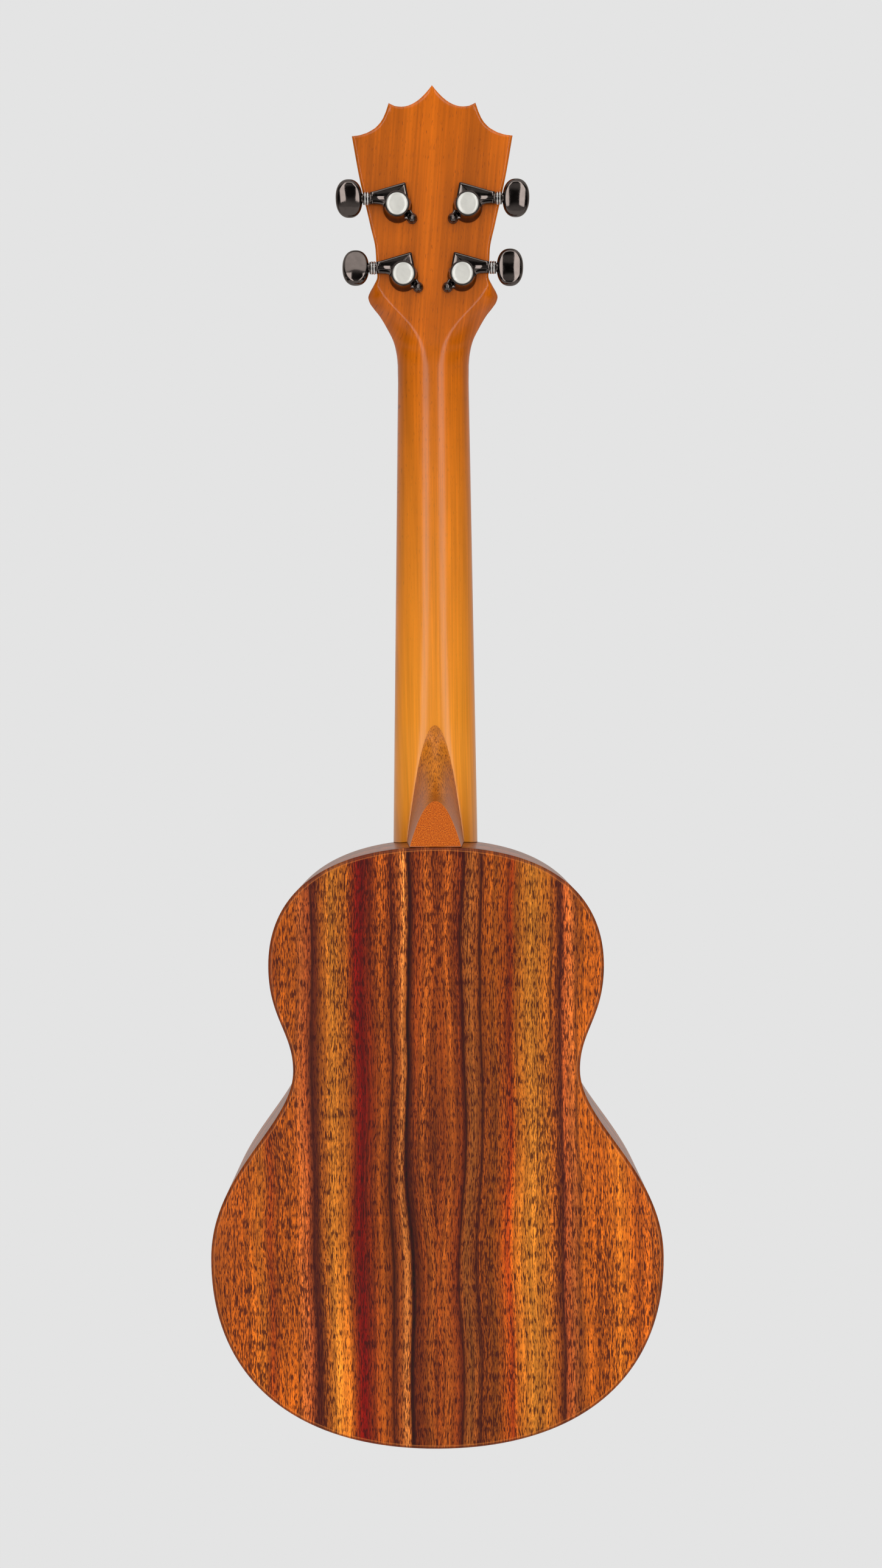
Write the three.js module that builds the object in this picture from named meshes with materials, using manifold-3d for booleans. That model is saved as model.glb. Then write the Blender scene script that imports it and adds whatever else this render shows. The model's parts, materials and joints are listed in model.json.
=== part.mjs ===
// A tenor ukulele, standing upright: +Z runs up the neck, the soundboard faces -Y and the back
// faces +Y. Millimetres. Inside the file z = 0 is the body side of the nut and y = 0 is the front
// of the soundboard; the whole instrument is then lowered so that the origin lies where a wall
// hanger's arms carry it, under the ears of the head.

import * as THREE from "three";
import { mergeVertices } from "three/addons/utils/BufferGeometryUtils.js";
import Module from "manifold-3d";

const wasm = await Module();
wasm.setup();

// ---------------------------------------------------------------- driving dimensions

const gap = 0.3; // between pieces that touch
const scaleLength = 432;
const fretsToBody = 14;
const fretCount = 19;
const hangerRise = 28; // from the nut up to the hanger's arms

const body = {
  upperWidth: 164.2,
  upperDrop: 57.6, // from the top of the body down to its widest places and its waist
  waistWidth: 139.9,
  waistDrop: 108.9,
  lowerWidth: 219.6,
  lowerDrop: 198.5,
  length: 289.8,
  depthAtNeck: 62,
  depthAtTail: 74,
};
const plate = { top: 2.2, back: 2.4, side: 2.0 };
const lining = { width: 4, height: 6 };
const soundHole = { radius: 29, drop: 85.5 };

const neck = { widthAtNut: 37.5, widthAtBody: 44.4, depthAtNut: 15.5, depthAtHeel: 18 };
const heel = {
  capHalfWidth: 12.7,
  footHalfWidth: 14.7,
  capHeight: 22.4,
  footHeight: 65, // from the top of the body up to where the block begins
  flare: 5.6, // how much deeper the neck grows beside the block
};
const board = { thickness: 5, overhang: 3 };
const nut = { thickness: 4.4, height: 6.8, stringSpread: 27 };

const head = {
  tilt: THREE.MathUtils.degToRad(14),
  frontY: -2.16,
  thickness: 15,
  veneer: 2,
  boreRadius: 4.3,
};

const bridge = {
  length: 88,
  width: 23,
  height: 7.2,
  wing: 3,
  block: 68,
  stringSpread: 41,
  behind: 5, // from the saddle down to the middle of the bridge
  gutter: { width: 4, depth: 4, drop: 6 }, // between the saddle and the tie block
  tieHole: { radius: 0.9, depth: 2.6, length: 14 },
};
const saddle = { length: 62, thickness: 2.6, height: 8.6, slotDepth: 4.4 };
const stringRadii = [0.3, 0.38, 0.45, 0.35];

const gear = { teeth: 14, wheelRadius: 2.9, wormRadius: 1.4, reach: 0.32, clearance: 0.2, width: 2.4 };
const tuner = {
  axisHeight: 3.4, // of the worm and the wheel over the back of the head
  wormRise: 2.8, // from the cap's centre towards the head's tip
  height: 6.3,
  rimRadius: 6.25,
  rimHeight: 1.3,
  capRadius: 5.5,
  sleeveRadius: 3.05,
  sleeveEnd: 13.8,
  collarLength: 3.2,
  buttonLength: 13.6,
  buttonWidth: 18.6,
  buttonThickness: 6.4,
  screwSide: 7.4,
  screwDrop: 6.7,
};
const post = { radius: 2.75, spindle: 1.0, reach: 13 };

// one tuning machine for each string, from the treble side: where its cap sits on the head and how
// far its button is turned
const tuners = [
  { name: "1", side: 1, across: 15.0, along: 51.8, turn: 22 },
  { name: "2", side: 1, across: 17.8, along: 85.4, turn: -12 },
  { name: "3", side: -1, across: 17.8, along: 85.4, turn: -9 },
  { name: "4", side: -1, across: 15.0, along: 51.8, turn: 6 },
];

// ---------------------------------------------------------------- places that follow

const fretAt = (n) => -scaleLength * (1 - 2 ** (-n / 12));
const bodyTop = fretAt(fretsToBody) - 0.6;
const bodyBottom = bodyTop - body.length;
const boardEnd = fretAt(fretCount) - board.overhang;
const holeZ = bodyTop - soundHole.drop;
const saddleZ = -scaleLength - 2;
const insideFront = plate.top + gap;
const backAt = (z) => {
  const share = (bodyTop - z) / body.length;
  return body.depthAtNeck + (body.depthAtTail - body.depthAtNeck) * share;
};
const insideBack = (z) => backAt(z) - plate.back - gap;
const boardHalf = (z) => {
  const grow = (neck.widthAtBody - neck.widthAtNut) / 2 / -bodyTop;
  return neck.widthAtNut / 2 - z * grow;
};

// ---------------------------------------------------------------- materials

const finish = (color, roughness, metalness = 0) => {
  return new THREE.MeshStandardMaterial({ color, roughness, metalness });
};
const koa = finish("#9a5426", 0.3);
const mahogany = finish("#c0702c", 0.4);
const heelWood = finish("#a8602c", 0.45);
const innerWood = finish("#d8b98a", 0.8);
const darkWood = finish("#3a2a22", 0.5);
const bone = finish("#e9e2cf", 0.4);
const blackChrome = finish("#2b2726", 0.18, 1);
const pearl = finish("#dcdad2", 0.3);
const brass = finish("#b9954d", 0.35, 1);
const stringStuff = finish("#d9d4cc", 0.3);

// ---------------------------------------------------------------- solids and joins

const instrument = new THREE.Group();
instrument.position.z = -hangerRise;
const headGroup = new THREE.Group();
headGroup.position.set(0, head.frontY, nut.thickness + 2 * gap);
headGroup.rotation.x = -head.tilt;
headGroup.updateMatrix();
instrument.add(headGroup);

function place(parent, name, geometry, material) {
  const mesh = new THREE.Mesh(geometry, material);
  mesh.name = name;
  parent.add(mesh);
  return mesh;
}

function solid(geometry) {
  const bare = geometry.clone();
  bare.deleteAttribute("normal");
  bare.deleteAttribute("uv");
  const merged = mergeVertices(bare, 1e-4);
  const vertProperties = new Float32Array(merged.attributes.position.array);
  const triVerts = new Uint32Array(merged.index.array);
  return new wasm.Manifold(new wasm.Mesh({ numProp: 3, vertProperties, triVerts }));
}

function geometryOf(manifold) {
  const mesh = manifold.getMesh();
  const geometry = new THREE.BufferGeometry();
  geometry.setAttribute("position", new THREE.BufferAttribute(mesh.vertProperties, 3));
  geometry.setIndex(new THREE.BufferAttribute(mesh.triVerts, 1));
  return geometry;
}

const cut = (geometry, ...tools) => {
  return geometryOf(tools.reduce((left, tool) => left.subtract(solid(tool)), solid(geometry)));
};
const join = (...pieces) => {
  return geometryOf(pieces.map(solid).reduce((whole, piece) => whole.add(piece)));
};

// ---------------------------------------------------------------- basic shapes

const shapeOf = (points) => new THREE.Shape(points.map(([x, y]) => new THREE.Vector2(x, y)));

const extrude = (shape, depth, curveSegments = 6) => {
  return new THREE.ExtrudeGeometry(shape, { depth, bevelEnabled: false, steps: 1, curveSegments });
};

// an outline of (x, z) points, filled from yFront to yBack, which may both lean along z
function slab(points, yFront, yBack) {
  const geometry = extrude(shapeOf(points), 1);
  const at = geometry.attributes.position;
  for (let i = 0; i < at.count; i += 1) {
    const z = at.getY(i);
    at.setXYZ(i, at.getX(i), at.getZ(i) < 0.5 ? yBack(z) : yFront(z), z);
  }
  return geometry;
}

// a profile of (x, y) points carried from zLow to zHigh, each point moved by lean(z)
function bar(points, zLow, zHigh, lean = () => 0) {
  const geometry = extrude(shapeOf(points), zHigh - zLow).translate(0, 0, zLow);
  const at = geometry.attributes.position;
  for (let i = 0; i < at.count; i += 1) {
    at.setY(i, at.getY(i) + lean(at.getZ(i)));
  }
  return geometry;
}

// a closed skin through rings of Vector3, all with as many points; each end is a fan
function skin(rings) {
  const count = rings[0].length;
  const middle = (ring) => {
    const sum = ring.reduce((total, p) => total.add(p), new THREE.Vector3());
    return sum.divideScalar(count);
  };
  const points = [...rings.flat(), middle(rings[0]), middle(rings[rings.length - 1])];
  const first = rings.length * count;
  const index = [];
  rings.slice(1).forEach((ring, r) => {
    ring.forEach((_, i) => {
      const next = (i + 1) % count;
      const a = r * count;
      const b = a + count;
      index.push(a + i, a + next, b + next, a + i, b + next, b + i);
    });
  });
  for (let i = 0; i < count; i += 1) {
    const next = (i + 1) % count;
    const last = first - count;
    index.push(first, next, i, first + 1, last + i, last + next);
  }
  const geometry = new THREE.BufferGeometry().setFromPoints(points);
  geometry.setIndex(index);
  return geometry;
}

const pillar = (radius, low, high, sides = 16) => {
  return new THREE.CylinderGeometry(radius, radius, high - low, sides).translate(0, (low + high) / 2, 0);
};

// ---------------------------------------------------------------- body outline

// half the outline as four curves: shoulder, upper bout to waist, waist to lower bout, tail
function bodyCurves() {
  const point = (x, drop) => new THREE.Vector2(x, bodyTop - drop);
  const upper = body.upperWidth / 2;
  const waist = body.waistWidth / 2;
  const lower = body.lowerWidth / 2;
  const upperDrop = body.upperDrop;
  const toWaist = body.waistDrop - upperDrop;
  const toLower = body.lowerDrop - body.waistDrop;
  const toTail = body.length - body.lowerDrop;
  return [
    [point(0, 0), point(upper * 0.67, 0), point(upper, upperDrop * 0.39), point(upper, upperDrop)],
    [
      point(upper, upperDrop),
      point(upper, upperDrop + toWaist * 0.5),
      point(waist, body.waistDrop - toWaist * 0.37),
      point(waist, body.waistDrop),
    ],
    [
      point(waist, body.waistDrop),
      point(waist, body.waistDrop + toLower * 0.29),
      point(lower, body.lowerDrop - toLower * 0.46),
      point(lower, body.lowerDrop),
    ],
    [
      point(lower, body.lowerDrop),
      point(lower, body.lowerDrop + toTail * 0.63),
      point(lower * 0.63, body.length),
      point(0, body.length),
    ],
  ].map((c) => new THREE.CubicBezierCurve(...c));
}

// the half outline moved inwards, as (x, z) points from the top centre to the tail centre
function halfOutline(inset, perCurve = 9) {
  const points = [];
  bodyCurves().forEach((curve, c) => {
    for (let i = c === 0 ? 0 : 1; i <= perCurve; i += 1) {
      const p = curve.getPoint(i / perCurve);
      const run = curve.getTangent(i / perCurve);
      points.push([Math.max(0, p.x + run.y * inset), p.y - run.x * inset]);
    }
  });
  points[0][0] = 0;
  points[points.length - 1][0] = 0;
  return points;
}

const mirrored = (points) => points.map(([x, z]) => [-x, z]).reverse();
const wholeOutline = (inset) => {
  const half = halfOutline(inset);
  return [...half, ...mirrored(half).slice(1, -1)];
};

// how wide the inside is, from the centre, at a height
function halfWidthAt(z, inset) {
  const points = halfOutline(inset, 24);
  const next = points.findIndex((p) => p[1] < z);
  const [a, b] = [points[next - 1], points[next]];
  return a[0] + ((b[0] - a[0]) * (a[1] - z)) / (a[1] - b[1]);
}

// ---------------------------------------------------------------- body pieces

const blockHalf = { neck: 27, tail: 22 };
const blockDepth = { neck: 30, tail: 13 };
const innerInset = plate.side + gap;
const liningInset = innerInset + lining.width;

function makeSoundboard() {
  const sheet = slab(wholeOutline(0), () => 0, () => plate.top);
  const hole = pillar(soundHole.radius, -5, 5 + plate.top, 32).translate(0, 0, holeZ);
  place(instrument, "soundboard", cut(sheet, hole), koa);
}

function makeBack() {
  const front = (z) => backAt(z) - plate.back;
  place(instrument, "back_plate", slab(wholeOutline(0), front, backAt), koa);
}

function makeSides() {
  const outer = halfOutline(0);
  const inner = halfOutline(plate.side).reverse();
  const clearOfCentre = ([x, z]) => [Math.max(x, gap / 2), z];
  const strip = [...outer, ...inner].map(clearOfCentre);
  const insideOf = (points) => slab(points, () => insideFront, insideBack);
  place(instrument, "side_treble", insideOf(strip), koa);
  place(instrument, "side_bass", insideOf(mirrored(strip)), koa);
}

// where the line between two points reaches a distance from the centre
function crossing(from, to, x) {
  return [x, from[1] + ((to[1] - from[1]) * (x - from[0])) / (to[0] - from[0])];
}

// the part of an inset curve that lies nearer the centre than half, ending exactly there
function within(points, half) {
  const next = points.findIndex((p) => p[0] > half);
  return [...points.slice(0, next), crossing(points[next - 1], points[next], half)];
}

// the part of an inset curve that lies further out than clear, ending exactly there
function beyond(points, clearTop, clearTail) {
  const wide = points.reduce((best, p, i) => (p[0] > points[best][0] ? i : best), 0);
  const start = points.findIndex((p) => p[0] > clearTop);
  const stop = points.findIndex((p, i) => i > wide && p[0] < clearTail);
  const first = crossing(points[start - 1], points[start], clearTop);
  const last = crossing(points[stop - 1], points[stop], clearTail);
  return [first, ...points.slice(start, stop), last];
}

function makeLinings() {
  const clearTop = blockHalf.neck + gap;
  const clearTail = blockHalf.tail + gap;
  const outer = beyond(halfOutline(innerInset), clearTop, clearTail);
  const inner = beyond(halfOutline(liningInset), clearTop, clearTail).reverse();
  const treble = [...outer, ...inner];
  const halves = { treble, bass: mirrored(treble) };
  for (const [name, points] of Object.entries(halves)) {
    const front = slab(points, () => insideFront, () => insideFront + lining.height);
    const back = slab(points, (z) => insideBack(z) - lining.height, insideBack);
    place(instrument, `lining_front_${name}`, front, innerWood);
    place(instrument, `lining_back_${name}`, back, innerWood);
  }
}

function makeBlocks() {
  const inside = halfOutline(innerInset);
  const top = within(inside, blockHalf.neck);
  const tail = within([...inside].reverse(), blockHalf.tail).reverse();
  const neckHalf = [...top, [blockHalf.neck, bodyTop - blockDepth.neck]];
  const tailHalf = [[blockHalf.tail, bodyBottom + blockDepth.tail], ...tail];
  const full = (half) => [...half, ...mirrored(half)].filter((p, i, all) => {
    const before = all[(i + all.length - 1) % all.length];
    return Math.hypot(p[0] - before[0], p[1] - before[1]) > 0.01;
  });
  place(instrument, "neck_block", slab(full(neckHalf), () => insideFront, insideBack), innerWood);
  place(instrument, "tail_block", slab(full(tailHalf), () => insideFront, insideBack), innerWood);
}

const cross = { width: 8, height: 9, end: 3, taper: 24 };
const fan = { width: 5, height: 6, top: 12, length: 96, spread: 26, lean: 9 };

// a cross brace with scooped ends, flat on the plate side; grows is +1 into the body from the front
function crossBrace(z, foot, grows, lean) {
  const edges = [z - cross.width / 2, z, z + cross.width / 2];
  const half = Math.min(...edges.map((edge) => halfWidthAt(edge, liningInset))) - 3 * gap;
  const low = foot + grows * cross.end;
  const high = foot + grows * cross.height;
  const shoulder = half - cross.taper;
  const points = [
    [-half, foot],
    [half, foot],
    [half, low],
    [shoulder, high],
    [-shoulder, high],
    [-half, low],
  ];
  return bar(points, z - cross.width / 2, z + cross.width / 2, lean);
}

function makeBraces() {
  const clear = cross.width / 2 + 3;
  const upper = holeZ + soundHole.radius + clear;
  const lower = holeZ - soundHole.radius - clear;
  place(instrument, "brace_top_upper", crossBrace(upper, insideFront, 1), innerWood);
  place(instrument, "brace_top_lower", crossBrace(lower, insideFront, 1), innerWood);
  [0.3, 0.66].forEach((share, i) => {
    const z = bodyTop - body.length * share;
    place(instrument, `brace_back_${i + 1}`, crossBrace(z, 0, -1, insideBack), innerWood);
  });
  const fanTop = lower - clear - fan.top / 2;
  [-1, 0, 1].forEach((step, i) => {
    const half = fan.width / 2;
    const blade = bar([[-half, 0], [half, 0], [half, fan.height], [-half, fan.height]], -fan.length, 0);
    blade.rotateY(THREE.MathUtils.degToRad(-fan.lean * step));
    blade.translate(fan.spread * step, insideFront, fanTop);
    place(instrument, `brace_fan_${i + 1}`, blade, innerWood);
  });
}

// ---------------------------------------------------------------- neck, head and heel

const glueLine = neck.depthAtHeel; // depth of the face that the heel block is glued to
const heelFoot = bodyTop + gap;
const heelTop = bodyTop + heel.footHeight;
const capTop = bodyTop + heel.capHeight;

// where the heel's centre line lies at a depth: a hollow quarter oval, flat along the neck at first
function heelCentreAt(y) {
  const share = (y - glueLine) / (body.depthAtNeck - glueLine);
  return heelTop - (heelTop - capTop) * Math.sqrt(1 - (1 - share) ** 2);
}

// each level of the heel is a parabola with its tip on the centre line
function makeHeel() {
  const levels = 9;
  const around = 6;
  const rings = [];
  for (let i = 0; i <= levels; i += 1) {
    const share = (i / levels) ** 1.6;
    const y = glueLine + gap + (body.depthAtNeck - glueLine - gap) * share;
    const half = heel.footHalfWidth + (heel.capHalfWidth - heel.footHalfWidth) * share;
    const tip = heelCentreAt(y);
    const ring = [];
    for (let k = -around; k <= around; k += 1) {
      const t = k / around;
      ring.push(new THREE.Vector3(half * t, y, tip + (heelFoot - tip) * t * t));
    }
    rings.push(ring);
  }
  place(instrument, "heel_block", skin(rings), heelWood);
}

// how deep the neck is behind its glue face, at a height below the nut
function neckDepthAt(z) {
  const along = -z / -heelTop;
  const shaft = neck.depthAtNut + (neck.depthAtHeel - neck.depthAtNut) * Math.max(0, along) ** 2;
  const past = Math.max(0, heelTop - z) / heel.footHeight;
  return shaft + heel.flare * past ** 1.3;
}

const neckSides = 14;

// one D-shaped section: across a quarter oval on each side, flat in front
function neckSection(half, depth, frontDepth, limit, flatHalf = 0) {
  const ring = [];
  for (let k = 0; k <= neckSides; k += 1) {
    const angle = Math.PI * (k / neckSides);
    const round = Math.cos(angle);
    const x = Math.sign(round) * flatHalf + (half - flatHalf) * round;
    const y = frontDepth + (depth - frontDepth) * Math.sin(angle) ** 0.86;
    ring.push([x, Math.min(y, limit)]);
  }
  return ring;
}

// along the head: half its width, half the width of its flat back and the thickness of its edge
const earStations = [
  [6, 18.8, 1.0, 0],
  [12, 19.4, 2.6, 0],
  [18.6, 20.8, 4.4, 0.4],
  [25, 24.0, 7.6, 1.6],
  [31, 27.6, 12.4, 3.4],
  [35, 31.0, 16.2, 4.6],
  [38, 33.1, 19.0, 5.2],
  [40.4, 33.6, 21.8, 5.8],
  [43, 32.4, 25.4, 7.4],
  [46, 30.6, 29.0, 12.0],
];

function earSection([along, half, flat, edge]) {
  const front = head.veneer + gap;
  const ring = [[half, front]];
  for (let k = 1; k < neckSides; k += 1) {
    const side = k < neckSides / 2 ? 1 : -1;
    const turn = (Math.min(k, neckSides - k) - 1) / (neckSides / 2 - 1);
    const angle = (Math.PI / 2) * turn;
    const x = flat + (half - flat) * Math.cos(angle);
    const y = front + edge + (head.thickness - front - edge) * Math.sin(angle);
    ring.push([k * 2 === neckSides ? 0 : side * x, y]);
  }
  ring.push([-half, front]);
  return ring.map(([x, y]) => new THREE.Vector3(x, y, along).applyMatrix4(headGroup.matrix));
}

// half of the head's outline from its narrowest place up to the tip of its crown
function crownShape() {
  const shape = new THREE.Shape();
  shape.moveTo(40.5, 118.4);
  shape.quadraticCurveTo(24.5, 119.6, 22.1, 134.1);
  shape.quadraticCurveTo(11, 127.8, 0, 142.3);
  shape.quadraticCurveTo(-11, 127.8, -22.1, 134.1);
  shape.quadraticCurveTo(-24.5, 119.6, -40.5, 118.4);
  return shape;
}

const headSideLow = [[28.6, 50.6], [29.8, 47.6]];
const earTip = [[31.1, 45.3], [33.2, 42], [33.6, 40.4], [33.1, 38]];
const earHollow = [[31, 35], [27.6, 31], [24, 25], [20.8, 18.6]];
const flatEdge = [[29.4, 45.8], [23.5, 41.5], [16.6, 35.8]];

function headOutline(lower) {
  const shape = crownShape();
  const left = lower.map(([x, z]) => [-x, z]);
  const right = [...lower].reverse();
  [...left, ...right].forEach(([x, z]) => shape.lineTo(x, z));
  return shape;
}

// an outline drawn on the head, filled between two depths behind its front
function headSlab(shape, front, back) {
  const geometry = extrude(shape, back - front, 7);
  return geometry.rotateX(Math.PI / 2).translate(0, back, 0);
}

const postPlaces = tuners.map((t) => [t.side * t.across, t.along + tuner.wormRise - gearDistance()]);
const screwPlaces = tuners.map((t) => [
  t.side * (t.across - tuner.screwSide),
  t.along - tuner.screwDrop,
]);

function gearDistance() {
  return gear.wheelRadius + gear.wormRadius;
}

function makeNeck() {
  const rings = [];
  const stations = 14;
  for (let i = 0; i <= stations; i += 1) {
    const z = heelFoot * (1 - i / stations);
    const ring = neckSection(boardHalf(z), neckDepthAt(z), 0, glueLine);
    rings.push(ring.map(([x, y]) => new THREE.Vector3(x, y, z)));
  }
  earStations.forEach((station) => rings.push(earSection(station)));
  const shaft = skin(rings);
  const slabShape = headOutline([...headSideLow, ...flatEdge]);
  const flat = headSlab(slabShape, head.veneer + gap, head.thickness).applyMatrix4(headGroup.matrix);
  const bores = postPlaces.map(([x, z]) => pillar(head.boreRadius, -1, 20).translate(x, 0, z));
  const pilots = screwPlaces.map(([x, z]) => pillar(1.3, 5, 20, 8).translate(x, 0, z));
  const holes = [...bores, ...pilots].map((hole) => hole.applyMatrix4(headGroup.matrix));
  place(instrument, "neck", cut(join(shaft, flat), ...holes), mahogany);
}

function makeHeadplate() {
  const shape = headOutline([...headSideLow, ...earTip, ...earHollow, [18.8, 6], [18.7, gap]]);
  const sheet = headSlab(shape, 0, head.veneer);
  const bores = postPlaces.map(([x, z]) => pillar(head.boreRadius, -5, 8).translate(x, 0, z));
  place(headGroup, "headplate", cut(sheet, ...bores), darkWood);
}

function makeFretboard() {
  const half = boardHalf(boardEnd);
  const top = boardHalf(0);
  const points = [[-top, 0], [-half, boardEnd], [half, boardEnd], [top, 0]];
  place(instrument, "fretboard", slab(points, () => -gap - board.thickness, () => -gap), darkWood);
}

function makeNut() {
  const half = boardHalf(0);
  const low = -gap;
  const high = -gap - nut.height;
  const bottom = gap;
  const top = nut.thickness + gap;
  const profile = [[bottom, low], [top, low], [top, high + 1.2], [bottom, high]];
  const block = extrude(shapeOf(profile), 2 * half);
  block.rotateY(-Math.PI / 2);
  block.translate(half, 0, 0);
  place(instrument, "nut", block, bone);
}

// ---------------------------------------------------------------- bridge and strings

const spaced = (count, spread, i) => spread / 2 - (spread * i) / (count - 1);

function makeBridge() {
  const box = (x, y, z) => new THREE.BoxGeometry(x, y, z);
  const wingY = -gap - bridge.wing / 2;
  const blockY = -gap - bridge.height / 2;
  const face = -gap - bridge.height;
  const middle = saddleZ - bridge.behind;
  const wings = box(bridge.length, bridge.wing, bridge.width).translate(0, wingY, middle);
  const block = box(bridge.block, bridge.height, bridge.width).translate(0, blockY, middle);
  const slotHeight = saddle.slotDepth + 1;
  const slot = box(saddle.length + 2 * gap, slotHeight, saddle.thickness + 2 * gap);
  slot.translate(0, face + saddle.slotDepth - slotHeight / 2, saddleZ);
  const { gutter, tieHole } = bridge;
  const trough = box(bridge.block + 2, gutter.depth + 1, gutter.width);
  trough.translate(0, face + (gutter.depth - 1) / 2, saddleZ - gutter.drop);
  const holes = stringRadii.map((_, i) => {
    const x = spaced(stringRadii.length, bridge.stringSpread, i);
    const drill = pillar(tieHole.radius, -tieHole.length, 0, 8).rotateX(Math.PI / 2);
    return drill.translate(x, face + tieHole.depth, saddleZ - gutter.drop + 1);
  });
  place(instrument, "bridge", cut(join(wings, block), slot, trough, ...holes), darkWood);
  const saddleBar = box(saddle.length, saddle.height, saddle.thickness);
  const saddleFoot = face + saddle.slotDepth - gap;
  saddleBar.translate(0, saddleFoot - saddle.height / 2, saddleZ);
  place(instrument, "saddle", saddleBar, bone);
}

function makeStrings() {
  const face = -gap - bridge.height;
  const saddleTop = face + saddle.slotDepth - gap - saddle.height;
  const nutTop = -gap - nut.height;
  const holeY = face + bridge.tieHole.depth;
  const knot = saddleZ - bridge.behind - bridge.width / 2 - 1.5;
  const leave = saddleZ - bridge.gutter.drop - 1.5;
  stringRadii.forEach((radius, i) => {
    const bridgeX = spaced(4, bridge.stringSpread, i);
    const nutX = spaced(4, nut.stringSpread, i);
    const [postX, postZ] = postPlaces[i];
    const inner = postX - tuners[i].side * (post.radius + gap + radius);
    const end = new THREE.Vector3(inner, -4, postZ).applyMatrix4(headGroup.matrix);
    const lift = gap + radius;
    const points = [
      new THREE.Vector3(bridgeX, holeY, knot),
      new THREE.Vector3(bridgeX, holeY, leave),
      new THREE.Vector3(bridgeX, saddleTop - lift, saddleZ - saddle.thickness / 2 - radius),
      new THREE.Vector3(bridgeX, saddleTop - lift, saddleZ + saddle.thickness / 2),
      new THREE.Vector3(nutX, nutTop - lift - 0.2, 0),
      new THREE.Vector3(nutX, nutTop - lift + 0.6, nut.thickness + gap),
      end,
    ];
    const ring = (p, before, after) => {
      const run = after.clone().sub(before).normalize();
      const side = new THREE.Vector3(0, 1, 0).cross(run).normalize();
      const up = run.clone().cross(side);
      return Array.from({ length: 8 }, (_, k) => {
        const angle = (Math.PI * k) / 4;
        const out = side.clone().multiplyScalar(Math.cos(angle) * radius);
        return p.clone().add(out).addScaledVector(up, Math.sin(angle) * radius);
      });
    };
    const last = points.length - 1;
    const rings = points.map((p, k) => ring(p, points[Math.max(0, k - 1)], points[Math.min(last, k + 1)]));
    place(instrument, `string_${i + 1}`, skin(rings), stringStuff);
  });
}

// ---------------------------------------------------------------- tuning machines

const wheelPitch = (2 * Math.PI * gear.wheelRadius) / gear.teeth;
const toothTip = 0.17; // half widths of tooth and thread at their tips and roots
const toothRoot = 0.34;
const threadTip = 0.15;
const threadRoot = 0.29;

// the worm wheel: straight teeth turned a little through its width to follow the thread
function makeWheel() {
  const root = gear.wheelRadius - gear.reach - gear.clearance;
  const tip = gear.wheelRadius + gear.reach;
  const shape = new THREE.Shape();
  for (let n = 0; n < gear.teeth; n += 1) {
    const middle = (2 * Math.PI * n) / gear.teeth;
    const corners = [
      [root, -toothRoot / root],
      [tip, -toothTip / tip],
      [tip, toothTip / tip],
      [root, toothRoot / root],
    ];
    corners.forEach(([r, off], k) => {
      const x = r * Math.cos(middle + off);
      const y = r * Math.sin(middle + off);
      if (n === 0 && k === 0) shape.moveTo(x, y);
      else shape.lineTo(x, y);
    });
  }
  const hole = new THREE.Path();
  hole.absarc(0, 0, post.spindle + gap, 0, 2 * Math.PI);
  shape.holes.push(hole);
  const wheel = extrude(shape, gear.width, 5).translate(0, 0, -gear.width / 2);
  const twist = wheelPitch / (2 * Math.PI * gear.wormRadius) / gear.wheelRadius;
  const at = wheel.attributes.position;
  for (let i = 0; i < at.count; i += 1) {
    const turn = at.getZ(i) * twist;
    const x = at.getX(i);
    const y = at.getY(i);
    at.setX(i, x * Math.cos(turn) - y * Math.sin(turn));
    at.setY(i, x * Math.sin(turn) + y * Math.cos(turn));
  }
  return wheel.rotateX(-Math.PI / 2);
}

// a thread as one ridge wound round the x axis
function thread(turns) {
  const steps = 12;
  const low = gear.wormRadius - gear.reach - gear.clearance - 0.25;
  const high = gear.wormRadius + gear.reach;
  const rings = [];
  for (let i = 0; i <= steps * turns; i += 1) {
    const angle = (2 * Math.PI * i) / steps - Math.PI * turns;
    const x = wheelPitch * (angle / (2 * Math.PI) + 0.25);
    const corner = (r, off) => new THREE.Vector3(x + off, r * Math.cos(angle), r * Math.sin(angle));
    rings.push([
      corner(low, threadRoot),
      corner(high, threadTip),
      corner(high, -threadTip),
      corner(low, -threadRoot),
    ]);
  }
  return skin(rings);
}

// a round bar lying across the head, from low to high towards the tuner's button
const across = (side, radius, low, high, sides = 12) => {
  return new THREE.CylinderGeometry(radius, radius, high - low, sides)
    .rotateZ(Math.PI / 2)
    .translate((side * (low + high)) / 2, 0, 0);
};

function makeWorm(side) {
  const core = gear.wormRadius - gear.reach - gear.clearance;
  const collar = tuner.sleeveEnd + gap;
  const end = collar + tuner.collarLength;
  return join(
    across(side, core, -4.2, 5),
    across(side, 1.5, 4.4, collar + 0.5),
    across(side, tuner.sleeveRadius, collar, end, 16),
    thread(4),
  );
}

// the button: a flattened oval with a broad bevel, its stub inside the collar's end
function makeButton(side, turn) {
  const half = tuner.buttonLength / 2;
  const start = tuner.sleeveEnd + gap + tuner.collarLength + gap;
  const middle = start + half;
  const shape = new THREE.Shape();
  shape.absellipse(0, 0, half - 1.4, tuner.buttonWidth / 2 - 1.4, 0, 2 * Math.PI);
  const button = new THREE.ExtrudeGeometry(shape, {
    depth: tuner.buttonThickness - 3.2,
    bevelThickness: 1.6,
    bevelSize: 1.4,
    bevelSegments: 2,
    curveSegments: 9,
    steps: 1,
  });
  button.translate(0, 0, -(tuner.buttonThickness - 3.2) / 2);
  button.rotateX(-Math.PI / 2 + THREE.MathUtils.degToRad(turn));
  return button.translate(side * middle, 0, 0);
}

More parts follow.
